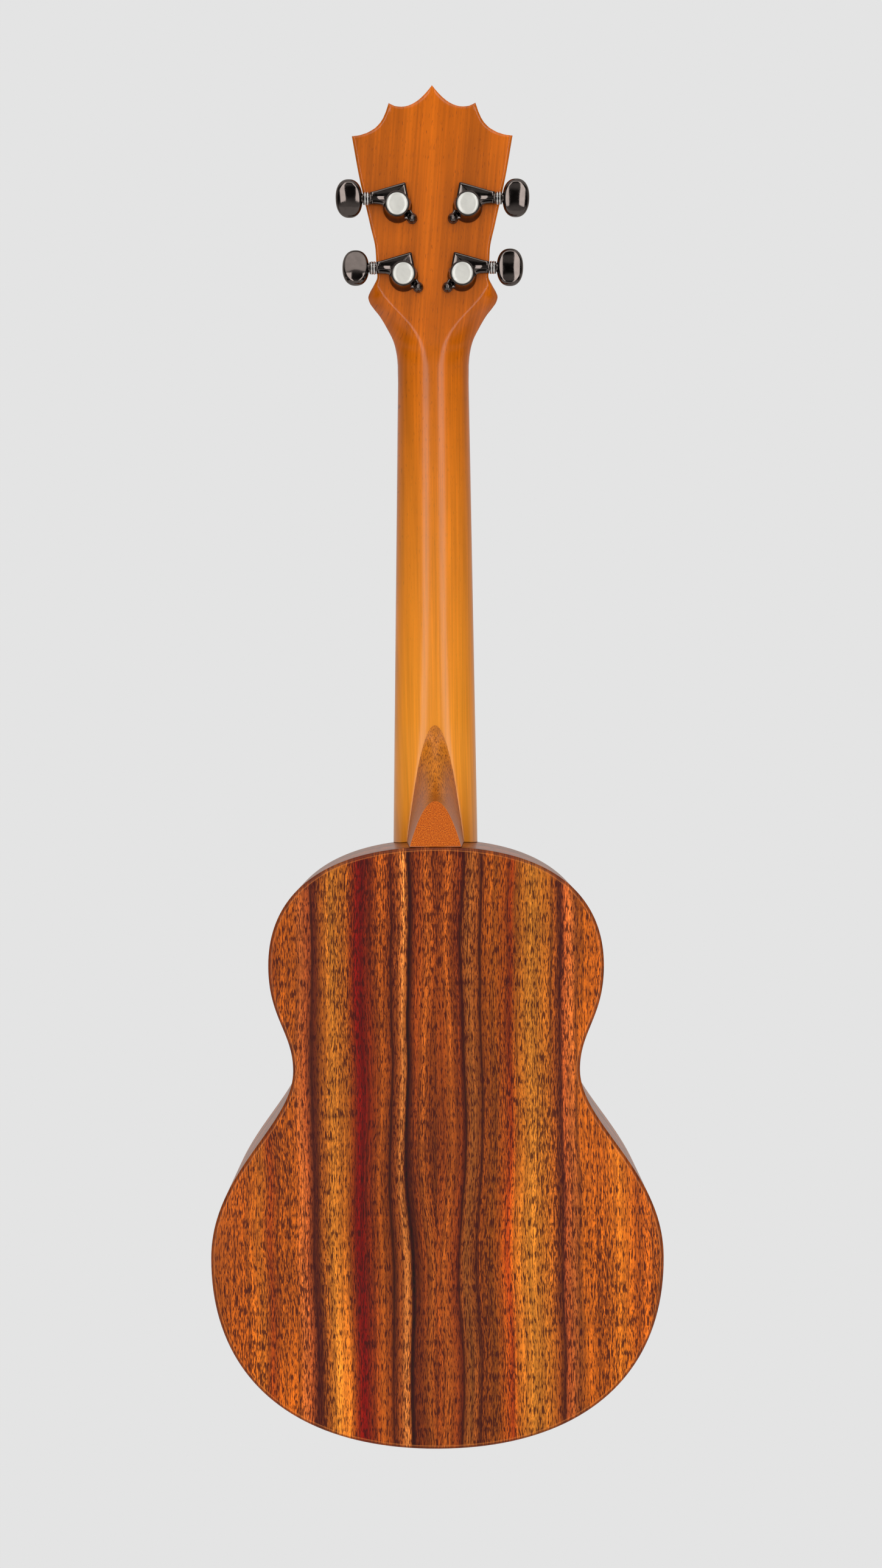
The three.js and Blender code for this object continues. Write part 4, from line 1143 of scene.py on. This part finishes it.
class UKULELE_OT_frets(Operator):
    """Lay the crowned fret wires across the board"""

    bl_idname = "ukulele.make_frets"
    bl_label = "Frets"

    def execute(self, context):
        for number in range(1, context.scene.ukulele_neck.frets + 1):
            points = fret_surface(number)
            faces = tube_faces(*points.shape[:2])
            make_piece(f"fret_{number}", points, faces, finish_for("fret wire"), slot="black_chrome")
        return {"FINISHED"}


def string_across(spread, number):
    """Where a string lies across the board, from the treble side."""
    return spread * (0.5 - number / 3)


NUT_SPREAD = 27 * MM
BRIDGE_SPREAD = 41 * MM
STRING_RADII = np.array([0.3, 0.38, 0.45, 0.35]) * MM


def nut_surface():
    """The nut: its top falls towards the head and has a bell-shaped slot for each string.

    The height is a profile along the strings, plus the slots and the rounded ends across them."""
    half = board_half(NUT_LOW)
    x = np.linspace(-half, half, 141)
    low, high = NUT_LOW + GAP, NUT_HIGH
    share = np.concatenate([[0, 0, 0.03], np.linspace(0.12, 0.88, 7), [0.97, 1, 1]])
    drop = np.array([0, 0.6, 0.15, *np.linspace(0, 1.0, 7) ** 2, 1.25, 1.7, 0]) * MM
    slots = np.zeros(len(x))
    for number, radius in enumerate(STRING_RADII):
        away = (x - string_across(NUT_SPREAD, number)) / (radius * 1.3)
        slots += np.exp(-(away**2)) * 0.35 * MM
    ends = np.clip((half - np.abs(x)) / (0.6 * MM), 0, 1)
    rounding = (1 - np.sqrt(1 - (1 - ends) ** 2)) * 0.5 * MM
    y = (NUT_TOP + drop)[None] + (slots + rounding)[:, None]
    y[:, [0, -1]] = -GAP
    return surface(x[:, None], y, low + (high - low) * share)


class UKULELE_OT_nut(Operator):
    """Make the nut with a slot under each string"""

    bl_idname = "ukulele.make_nut"
    bl_label = "Nut"

    def execute(self, context):
        points = nut_surface()
        faces = tube_faces(*points.shape[:2])
        make_piece("nut_fine", points, faces, finish_for("bone"), stands_for=["nut"], slot="bone")
        return {"FINISHED"}


# ------------------------------------------------------------------ bridge and strings


def step_up(value, low, high):
    """Rises smoothly from 0 at low to 1 at high."""
    t = np.clip((value - low) / (high - low), 0, 1)
    return t * t * (3 - 2 * t)


def between(value, low, low_full, high_full, high):
    """1 between two places and 0 outside them, with smooth steps at both."""
    return step_up(value, low, low_full) - step_up(value, high_full, high)


def bridge_surface():
    """The bridge's top: low wings and a tall middle with a rounded back and a falling front.

    The height is the wing's plus the block's, less the gutter behind the saddle, the saddle's
    slot and the front's fall. The wings are arched from edge to edge."""
    low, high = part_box("bridge")
    x = np.concatenate([[low.x], np.linspace(low.x + 0.4 * MM, high.x - 0.4 * MM, 121), [high.x]])
    z = np.linspace(low.z + 0.4 * MM, high.z - 0.4 * MM, 60)
    z = np.concatenate([[low.z, low.z], z, [high.z, high.z]])
    up = (z - SADDLE_Z) / MM
    wing, deep = 3 * MM, 4.2 * MM
    tall = 1 - step_up(np.abs(x), 31 * MM, 36 * MM)[:, None]
    rise = wing + (-BRIDGE_FACE - GAP - wing) * tall
    arch = 1 - 0.35 * (1 - tall) * ((z - z.mean()) / (high.z - low.z) * 2) ** 2
    gutter = between(up, -8.4, -7.6, -4.2, -3.4) * deep * tall
    slot = between(up, -1.7, -1.5, 1.5, 1.7) * deep * (np.abs(x) < 31.4 * MM)[:, None]
    fall = step_up(z, SADDLE_Z + 2.2 * MM, high.z) * 2.2 * MM * tall
    ends = np.ones(len(x))
    ends[[0, -1]] = 0.8
    y = -GAP - (rise * arch - gutter - slot - fall) * ends[:, None]
    y[:, [1, -2]] += 0.4 * MM
    y[:, [0, -1]] = -GAP
    return surface(x[:, None], y, z)


def saddle_surface():
    """The saddle: a thin bar whose top is a half round that drops off at both ends."""
    low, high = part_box("saddle")
    x = np.linspace(low.x, high.x, 61)
    angle = np.linspace(0, np.pi, 11)
    half = (high.z - low.z) / 2
    ends = np.clip((high.x - np.abs(x)) / (1.2 * MM), 0, 1)
    crown = low.y + (1 - np.sqrt(1 - (1 - ends) ** 2)) * 0.8 * MM
    top = crown[:, None] + half * (1 - np.sin(angle))
    foot = np.full((len(x), 1), high.y)
    z = SADDLE_Z + half * np.concatenate([[1], np.cos(angle), [-1]])
    return surface(x[:, None], np.concatenate([foot, top, foot], 1), z)


class UKULELE_OT_bridge(Operator):
    """Make the bridge, its tie block and the saddle"""

    bl_idname = "ukulele.make_bridge"
    bl_label = "Bridge and saddle"

    def execute(self, context):
        for name, points, finish, slot in (
            ("bridge", bridge_surface(), "dark wood", "bridge_wood"),
            ("saddle", saddle_surface(), "bone", "bone"),
        ):
            make_piece(
                f"{name}_fine", points, tube_faces(*points.shape[:2]), finish_for(finish),
                stands_for=[name], slot=slot,
            )
        return {"FINISHED"}


def post_place(name):
    """A string post's axis on the head: distance across and up from the nut."""
    place = np.array(JOINTS[f"post_turn_{name}"]["pos_m"])
    along = (place[1] - HEAD_Y) * TILT_SIN + (place[2] - HEAD_Z) * TILT_COS
    return place[0], along


POST_WAIST = 2.45 * MM  # radius of the post where the string winds on
WINDING_START = -7.4 * MM  # over the head's face
WINDING_TURNS = 2
WINDING_PITCH = 2.4  # in string radii for each turn
KNOT_DROP = 16.9 * MM  # from the saddle down to the knot
TIE_HOLE = BRIDGE_FACE + 2.6 * MM


def string_path(number, name):
    """A taut string: straight stretches from its knot through the hole, over saddle and nut.

    It ends beside the winding's last turn, so that the winding can turn without touching it."""
    radius = STRING_RADII[number]
    at_bridge = string_across(BRIDGE_SPREAD, number)
    at_nut = string_across(NUT_SPREAD, number)
    across, along = post_place(name)
    height = WINDING_START + (WINDING_TURNS * WINDING_PITCH + 2.2) * radius
    end = on_head(across - np.sign(across) * (POST_WAIST + radius), height, along)
    corners = np.array(
        [
            (at_bridge, TIE_HOLE, SADDLE_Z - KNOT_DROP),
            (at_bridge, TIE_HOLE, SADDLE_Z - 7.5 * MM),
            (at_bridge, SADDLE_TOP + 0.6 * MM - radius, SADDLE_Z - 1.2 * MM),
            (at_bridge, SADDLE_TOP - radius, SADDLE_Z),
            (at_nut, NUT_TOP + 0.2 * MM - radius, NUT_LOW + GAP),
            (at_nut + (end[0] - at_nut) * 0.05, NUT_TOP + 1.3 * MM - radius, NUT_HIGH),
            end,
        ]
    )
    pieces = [np.linspace(a, b, 8)[:-1] for a, b in zip(corners, corners[1:])]
    return np.concatenate([*pieces, [corners[-1]]])


def winding_path(number, name):
    """A helix round the post, from near its top down to where the taut string arrives."""
    radius = STRING_RADII[number]
    across, along = post_place(name)
    turn = np.linspace(0, WINDING_TURNS * 2 * np.pi, 60)
    height = WINDING_START + WINDING_PITCH * radius * turn / (2 * np.pi)
    angle = turn + np.pi * (across > 0)
    reach = POST_WAIST + radius
    return on_head(across + reach * np.cos(angle), height, along + reach * np.sin(angle))


def tie_loop_path(number):
    """The string's end: half an arch from the knot back over the tie block."""
    radius = STRING_RADII[number]
    share = np.linspace(0, 1, 30)
    bulge = np.sin(share * np.pi)
    x = string_across(BRIDGE_SPREAD, number) + bulge * 1.4 * MM
    y = TIE_HOLE - bulge**0.6 * (TIE_HOLE - BRIDGE_FACE + radius)
    return surface(x, y, SADDLE_Z - KNOT_DROP + share * 9.2 * MM)


class UKULELE_OT_strings(Operator):
    """String it: each string from its knot over saddle and nut to its post, and its windings"""

    bl_idname = "ukulele.make_strings"
    bl_label = "Strings"

    def execute(self, context):
        finish = finish_for("string")
        for number, name in enumerate(TUNERS):
            for label, path, body, nodes in (
                ("string_taut", string_path(number, name), "root", [f"string_{name}"]),
                ("winding", winding_path(number, name), f"post_turns_{name}", []),
                ("tie_loop", tie_loop_path(number), "root", []),
            ):
                points, faces = wire(path, STRING_RADII[number])
                make_piece(f"{label}_{name}", points, faces, finish, body, nodes, slot="string")
        return {"FINISHED"}


# ------------------------------------------------------------------ tuning machines


def cap_place(name):
    """The centre of a tuner's cap on the head, and which way its button points."""
    low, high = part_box(f"gear_cap_{name}")
    middle = np.array((low + high) / 2)
    along = (middle[1] - HEAD_Y) * TILT_SIN + (middle[2] - HEAD_Z) * TILT_COS
    return middle[0], along, np.sign(middle[0])


def on_machine(points, name):
    """Points given as (outwards, above the head's back, towards the tip) placed on the head."""
    x, along, side = cap_place(name)
    points = np.asarray(points)
    return on_head(x + side * points[..., 0], HEAD_THICK + points[..., 1], along + points[..., 2])


AXIS_HEIGHT = 3.4 * MM  # of the worm shaft over the head's back
WORM_RISE = 2.8 * MM  # of the worm shaft over the cap's centre, towards the tip
SLEEVE_END = 13.8 * MM  # how far out the sleeve round the shaft reaches
BUTTON_START = SLEEVE_END + GAP + 3.5 * MM
BUTTON_LONG = 6.8 * MM  # half the button's size along its shaft
BUTTON_WIDE = 9.3 * MM  # half its size across
SCREW_PLACE = np.array([-7.4, 0, -6.7]) * MM  # from the cap's centre


def lying(profile, segments=40):
    """A turned shape whose axis points outwards along the worm shaft."""
    points, faces = turned(profile, segments)
    return beside_shaft(points), faces


def beside_shaft(points):
    """Points round their own Y axis, laid along the worm shaft."""
    return points[..., [1, 0, 2]] + [0, AXIS_HEIGHT, WORM_RISE]


def cast(outline, levels):
    """An outline of (outwards, towards the tip) points drawn up through (height, inset) levels."""
    outline = np.asarray(outline, float)
    rows = []
    for height, inset in levels:
        ring = moved_in(outline, inset)
        rows.append(surface(ring[:, 0], height, ring[:, 1]))
    return np.array(rows), tube_faces(len(levels), len(outline))


def arc(centre, radius, start, stop, count):
    """Points along a circle's arc, between two angles in degrees."""
    angle = np.radians(np.linspace(start, stop, count))
    return np.stack([centre[0] + radius * np.cos(angle), centre[1] + radius * np.sin(angle)], -1)


def housing_shells():
    """The cast housing as overlapping closed shells: flared drum, arm, sleeve and screw lug.

    The drum is turned and leans away from the tip towards its foot, the sleeve is turned round
    the shaft, and arm and lug are outlines drawn up with a rounded upper edge."""
    drum_profile = [(0.1, 0.3), (7.4, 0.3), (7.5, 0.6), (7.1, 1.6), (6.6, 3.2), (6.35, 5.2), (6.3, 7.1)]
    drum_profile += [(6.15, 7.5), (6.0, 7.6), (5.85, 7.5), (5.8, 6.9), (0.1, 6.9)]
    drum, drum_faces = turned(np.array(drum_profile) * MM, 48)
    lean = 1.5 * MM * np.clip(1 - drum[..., 1] / (6.0 * MM), 0, 1)
    drum[..., 2] -= lean
    arm = np.concatenate(
        [
            [(13.5, 5.8), (11.0, 6.4), (4.0, 8.35)],
            arc((-3.6, 9.5), 0.9, 80, 190, 7),
            [(-5.6, 4.0), (-5.9, 0.5), (-3, -1), (3.0, 0.5), (5.5, 0.4)],
            arc((9.4, -4.6), 4.4, 140, 92, 8),
            [(11.6, -0.15), (13.5, -0.1)],
        ]
    ) * MM
    arm_levels = np.array([(0.3, 0.0), (5.3, 0.05), (5.9, 0.25), (6.2, 0.7), (6.3, 1.1)]) * MM
    arm_shell = cast(arm[::-1], arm_levels)
    sleeve_profile = [(0.1, -5), (2.6, -5), (3.0, -4.5), (3.05, 12.6), (2.85, 12.9), (3.05, 13.2)]
    sleeve_profile += [(3.0, 13.8), (0.1, 13.8)]
    sleeve = lying(np.array(sleeve_profile) * MM)
    lug_end = arc((-7.4, -6.7), 2.7, 100, 350, 16)
    lug = np.concatenate([lug_end, [(-2.0, -6.6), (-3.5, 0.5), (-6.2, -1.5)]]) * MM
    lug_levels = np.array([(0.3, 0.0), (2.1, 0.05), (2.5, 0.3), (2.6, 0.6)]) * MM
    return [(drum, drum_faces), arm_shell, sleeve, cast(lug, lug_levels)]


# the satin cap from its hidden foot over its rounded rim to its slightly domed middle
CAP_PROFILE = np.array(
    [(0.05, 6.6), (5.5, 6.6), (5.5, 7.5), (5.3, 7.85), (4.9, 7.95), (4.8, 7.9), (3, 8.0), (0.05, 8.05)]
) * MM


class UKULELE_OT_housings(Operator):
    """Make the cast housings, their caps and their fixing screws"""

    bl_idname = "ukulele.make_housings"
    bl_label = "Machine housings"

    def execute(self, context):
        housing, housing_faces = joined(housing_shells())
        cap, cap_faces = turned(CAP_PROFILE, 48)
        rim = np.broadcast_to((CAP_PROFILE[:, 0].max() - CAP_PROFILE[:, 0])[:, None], cap.shape[:2])
        screw, screw_faces = screw_shape()
        chrome = finish_for("black chrome")
        for name in TUNERS:
            make_piece(
                f"housing_cast_{name}", on_machine(housing, name), housing_faces, chrome,
                stands_for=[f"housing_{name}"], slot="black_chrome", crease=40,
            )
            make_piece(
                f"cap_satin_{name}", on_machine(cap, name), cap_faces, finish_for("cap"),
                stands_for=[f"gear_cap_{name}"], slot="pearl_cap", rim=rim,
            )
            make_piece(
                f"screw_{name}", on_machine(screw + SCREW_PLACE, name), screw_faces, chrome,
                stands_for=[f"fixing_screw_{name}"], slot="black_chrome",
            )
        return {"FINISHED"}


def screw_shape():
    """A domed wood screw: part of a circle for the head, then a straight shank and its point."""
    turn = np.linspace(0.02, 1.42, 12)
    dome = [(2.3 * math.sin(a), 2.9 + 2.1 * math.cos(a)) for a in turn]
    shank = [(2.3, 2.9), (1.0, 2.8), (1.0, -6.5), (0.5, -8), (0.05, -8.9)]
    return turned(np.array(dome + shank) * MM, 48)


# a button from its middle to its rim: share of its size, and height over its middle plane
BUTTON_LEVELS = (
    (0.02, 3.2), (0.2, 3.18), (0.4, 3.08), (0.6, 2.92), (0.78, 2.72),
    (0.84, 2.62), (0.87, 2.45), (0.93, 1.95), (0.975, 1.2), (0.998, 0.5),
)


def oval_button(turn):
    """A flattened oval: a gently domed face, a narrow bevelled rim and a rounded side.

    Each ring is a superellipse of power 2.3 scaled by its share and set at its height. The
    button is then turned about its shaft."""
    under = [(share, -height) for share, height in BUTTON_LEVELS[::-1]]
    shares, heights = np.array([*BUTTON_LEVELS, *under]).T[:, :, None]
    angle = np.arange(96) * 2 * np.pi / 96
    ring_x = np.sign(np.cos(angle)) * np.abs(np.cos(angle)) ** (2 / 2.3) * BUTTON_LONG
    ring_z = np.sign(np.sin(angle)) * np.abs(np.sin(angle)) ** (2 / 2.3) * BUTTON_WIDE
    x, y, z = shares * ring_x, heights * MM, shares * ring_z
    y, z = y * math.cos(turn) - z * math.sin(turn), y * math.sin(turn) + z * math.cos(turn)
    points = surface(x + BUTTON_START + BUTTON_LONG, y + AXIS_HEIGHT, z + WORM_RISE)
    return points, tube_faces(*points.shape[:2])


BUTTON_TURNS = {"1": 22, "2": -12, "3": -9, "4": 6}  # how each one was left, in degrees
# radius along the worm shaft from the sleeve's inside to the button, and the two silver rings
CORE_PROFILE = np.array(
    [
        (0.05, 13.0), (1.5, 13.0), (1.5, 14.1), (2.9, 14.1), (3.0, 14.3),
        (3.0, 17.1), (2.3, 17.3), (2.1, 18.3), (0.05, 18.3),
    ]
) * MM
RING_PROFILE = np.array([(2.7, 0), (3.2, 0), (3.3, 0.25), (3.2, 0.55), (2.7, 0.55)]) * MM
RING_PLACES = (14.6 * MM, 15.9 * MM)


class UKULELE_OT_buttons(Operator):
    """Make the buttons and the shafts and collars that they turn"""

    bl_idname = "ukulele.make_buttons"
    bl_label = "Buttons and shafts"

    def execute(self, context):
        chrome, silver = finish_for("black chrome"), finish_for("silver")
        core, core_faces = lying(CORE_PROFILE)
        for name in TUNERS:
            body = f"button_turns_{name}"
            button, faces = oval_button(math.radians(BUTTON_TURNS[name]))
            make_piece(
                f"button_oval_{name}", on_machine(button, name), faces, chrome, body,
                stands_for=[f"button_{name}"], slot="button_chrome",
            )
            placed = on_machine(core, name)
            make_piece(f"collar_{name}", placed, core_faces, chrome, body, slot="black_chrome")
            for number, place in enumerate(RING_PLACES, 1):
                ring, faces = washer(RING_PROFILE + [0, place])
                placed = on_machine(beside_shaft(ring), name)
                label = f"collar_ring_{name}_{number}"
                make_piece(label, placed, faces, silver, body, slot="black_chrome")
        return {"FINISHED"}


# radius and height over the head's back, from the post's top in front to its foot
POST_PROFILE = np.array(
    [
        (0.05, -27.9), (1.4, -27.9), (2.2, -27.7), (2.6, -27.3), (2.75, -26.6), (2.75, -24.6),
        (2.6, -24.2), (2.4, -23), (2.25, -21.5), (2.4, -20), (2.6, -18.8), (2.75, -18.4),
        (2.75, -0.8), (1.0, -0.8), (1.0, 5.5), (0.05, 5.5),
    ]
) * MM
BUSHING_PROFILE = np.array(
    [
        (3.05, -16.5), (3.3, -16.6), (4.9, -16.5), (5.4, -16.2), (5.6, -15.7), (5.6, -15.3),
        (4.0, -15.3), (4.0, -6.3), (3.05, -6.3),
    ]
) * MM


class UKULELE_OT_posts(Operator):
    """Make the string posts and the bushings that they turn in"""

    bl_idname = "ukulele.make_posts"
    bl_label = "Posts and bushings"

    def execute(self, context):
        chrome = finish_for("black chrome")
        for name in TUNERS:
            across, along = post_place(name)
            for label, profile, maker, body, node in (
                ("post_turned", POST_PROFILE, turned, f"post_turns_{name}", f"string_post_{name}"),
                ("bushing_turned", BUSHING_PROFILE, washer, "root", f"bushing_{name}"),
            ):
                points, faces = maker(profile, 48)
                x, y, z = np.moveaxis(points, -1, 0)
                placed = on_head(across + x, HEAD_THICK + y, along + z)
                label = f"{label}_{name}"
                make_piece(label, placed, faces, chrome, body, stands_for=[node], slot="black_chrome")
        return {"FINISHED"}


class UKULELE_OT_inside(Operator):
    """Give the pieces inside the body and the machines their finishes"""

    bl_idname = "ukulele.finish_inside"
    bl_label = "Inner pieces"

    def execute(self, context):
        for name, node in frame["nodes"].items():
            if name.startswith("brace"):
                finish = finish_for("spruce")
            elif name.startswith(("lining", "neck_block", "tail_block")):
                finish = finish_for("lining wood")
            elif name.startswith("worm_wheel"):
                finish = finish_for("brass")
            elif name.startswith("worm_shaft"):
                finish = finish_for("black chrome")
            else:
                continue
            node.data.materials.clear()
            node.data.materials.append(finish)
        return {"FINISHED"}


# ------------------------------------------------------------------ stage


class UkuleleStage(PropertyGroup):
    """Place and lens of the camera, and power of the lights"""

    distance: length("Camera distance", 0.824, "From the soundboard back to the camera")
    height: length("Camera height", -0.2186, "Height of the camera in the instrument's own frame")
    lens: FloatProperty(name="Lens", description="Focal length", default=35.73, min=10, max=200)
    roll: FloatProperty(name="Roll", description="How far the camera leans", default=0.0047, unit="ROTATION")
    key: FloatProperty(name="Strip lights", description="Power of the two strip lights", default=11.5, min=0)
    fill: FloatProperty(name="Fill", description="Power of the high broad light", default=7.0, min=0)


def area_light(name, place, aim, size, power):
    """A rectangular light of a width and height that faces its aim."""
    light = bpy.data.lights.new(name, "AREA")
    light.shape = "RECTANGLE"
    light.size, light.size_y = size
    light.energy = power
    lamp = bpy.data.objects.new(name, light)
    bpy.context.scene.collection.objects.link(lamp)
    lamp.location = place
    away = np.array(place) - np.array(aim)
    lamp.rotation_euler = Vector(away).to_track_quat("Z", "Y").to_euler()


# the room's brightness from the floor up to straight overhead, and its colour in front
ROOM_BANDS = (
    (0, 0.5), (0.2, 0.5), (0.25, 0.04), (0.34, 0.04), (0.37, 0.4), (0.43, 0.4), (0.45, 0.03),
    (0.53, 0.03), (0.55, 0.3), (0.6, 0.3), (0.63, 0.04), (0.7, 0.05), (0.75, 0.7), (1, 0.9),
)
ROOM_FRONT = (0.6, 0.57, 0.54)


class UKULELE_OT_stage(Operator):
    """Set the pale backdrop, the soft lights and the camera"""

    bl_idname = "ukulele.make_stage"
    bl_label = "Stage"

    def execute(self, context):
        stage = context.scene.ukulele_stage
        pale = tuple(context.scene.ukulele_colours.backdrop)
        context.scene.view_settings.view_transform = "Standard"
        self.make_world(context.scene, pale)
        self.make_floor(pale)
        middle = (0, 0.05, -0.25)
        for side in (-1, 1):
            area_light(f"strip_{side}", (side * 0.56, 1.75, -0.15), middle, (0.42, 2.0), stage.key)
        area_light("fill", (0, 1.5, 1.3), middle, (1.8, 0.9), stage.fill)
        camera = bpy.data.cameras.new("camera")
        camera.sensor_width = 36
        camera.lens = stage.lens
        camera.shift_x = 0.0038
        camera.shift_y = -0.0245
        eye = bpy.data.objects.new("camera", camera)
        context.scene.collection.objects.link(eye)
        eye.location = (0, stage.distance, stage.height)
        eye.rotation_mode = "XYZ"
        eye.rotation_euler = (math.pi / 2, stage.roll, math.pi)
        context.scene.camera = eye
        return {"FINISHED"}

    def make_world(self, scene, pale):
        """A room of pale and dark bands for the reflections; the camera sees the backdrop's colour."""
        world = bpy.data.worlds.new("studio")
        world.use_nodes = True
        tree = world.node_tree
        tree.nodes.clear()
        place = tree.nodes.new("ShaderNodeTexCoord")
        split = tree.nodes.new("ShaderNodeSeparateXYZ")
        tree.links.new(place.outputs["Generated"], split.inputs[0])
        bands = tree.nodes.new("ShaderNodeValToRGB")
        band = bands.color_ramp
        while len(band.elements) < len(ROOM_BANDS):
            band.elements.new(0.5)
        for element, (at, strength) in zip(band.elements, ROOM_BANDS):
            element.position = at
            element.color = (strength, strength, strength, 1)
        rise = tree.nodes.new("ShaderNodeMapRange")
        rise.inputs["From Min"].default_value = -1
        tree.links.new(split.outputs["Z"], rise.inputs["Value"])
        tree.links.new(rise.outputs["Result"], bands.inputs["Fac"])
        depth = tree.nodes.new("ShaderNodeMapRange")
        for key, value in {"From Min": -0.45, "From Max": 0.1, "To Min": 1.0, "To Max": 0.0}.items():
            depth.inputs[key].default_value = value
        tree.links.new(split.outputs["Y"], depth.inputs["Value"])
        merge = tree.nodes.new("ShaderNodeMix")
        merge.data_type = "RGBA"
        tree.links.new(depth.outputs["Result"], merge.inputs[0])
        tree.links.new(bands.outputs["Color"], merge.inputs[6])
        merge.inputs[7].default_value = (*ROOM_FRONT, 1)
        room = tree.nodes.new("ShaderNodeBackground")
        tree.links.new(merge.outputs[2], room.inputs["Color"])
        seen = tree.nodes.new("ShaderNodeBackground")
        seen.inputs["Color"].default_value = (*pale, 1)
        ray = tree.nodes.new("ShaderNodeLightPath")
        choose = tree.nodes.new("ShaderNodeMixShader")
        tree.links.new(ray.outputs["Is Camera Ray"], choose.inputs[0])
        tree.links.new(room.outputs[0], choose.inputs[1])
        tree.links.new(seen.outputs[0], choose.inputs[2])
        output = tree.nodes.new("ShaderNodeOutputWorld")
        tree.links.new(choose.outputs[0], output.inputs["Surface"])
        scene.world = world

    def make_floor(self, pale):
        """A square floor under the body's foot that glows evenly in the backdrop's colour."""
        half, low = 0.9, BODY_FOOT - 0.12
        corners = [(-half, -half, low), (half, -half, low), (half, half, low), (-half, half, low)]
        mesh = bpy.data.meshes.new("floor")
        mesh.from_pydata(corners, [], [(0, 1, 2, 3)])
        floor = bpy.data.objects.new("floor", mesh)
        bpy.context.scene.collection.objects.link(floor)
        finish = Finish("floor")
        light = finish.add("ShaderNodeEmission", {"Color": (*pale, 1), "Strength": 1.0})
        finish.tree.links.new(light.outputs[0], finish.output.inputs["Surface"])
        mesh.materials.append(finish.material)


# ------------------------------------------------------------------ panel and main

MAKERS = (
    UKULELE_OT_stage,
    UKULELE_OT_back,
    UKULELE_OT_sides,
    UKULELE_OT_soundboard,
    UKULELE_OT_neck,
    UKULELE_OT_heel,
    UKULELE_OT_headplate,
    UKULELE_OT_fretboard,
    UKULELE_OT_frets,
    UKULELE_OT_nut,
    UKULELE_OT_bridge,
    UKULELE_OT_strings,
    UKULELE_OT_housings,
    UKULELE_OT_buttons,
    UKULELE_OT_posts,
    UKULELE_OT_inside,
)


class UKULELE_PT_pieces(Panel):
    """The ukulele's pieces, sizes and colours"""

    bl_idname = "UKULELE_PT_pieces"
    bl_label = "Ukulele"
    bl_space_type = "VIEW_3D"
    bl_region_type = "UI"
    bl_category = "Ukulele"

    def draw(self, context):
        for group in GROUPS:
            box = self.layout.box()
            settings = getattr(context.scene, group)
            for key in settings.bl_rna.properties.keys():
                if key not in ("rna_type", "name"):
                    box.prop(settings, key)
        for maker in MAKERS:
            self.layout.operator(maker.bl_idname)


GROUPS = {
    "ukulele_body": UkuleleBodySizes,
    "ukulele_neck": UkuleleNeckSizes,
    "ukulele_colours": UkuleleColours,
    "ukulele_stage": UkuleleStage,
}


def register():
    """Makes the sizes, the operators and the panel known to the program."""
    for group in (*GROUPS.values(), *MAKERS, UKULELE_PT_pieces):
        bpy.utils.register_class(group)
    for name, group in GROUPS.items():
        setattr(bpy.types.Scene, name, PointerProperty(type=group))


def unregister():
    """Takes them all out again."""
    for name in GROUPS:
        delattr(bpy.types.Scene, name)
    for group in reversed((*GROUPS.values(), *MAKERS, UKULELE_PT_pieces)):
        bpy.utils.unregister_class(group)


def main():
    """Builds every piece in order."""
    register()
    for maker in MAKERS:
        family, verb = maker.bl_idname.split(".")
        getattr(getattr(bpy.ops, family), verb)()


if __name__ == "__main__":
    main()
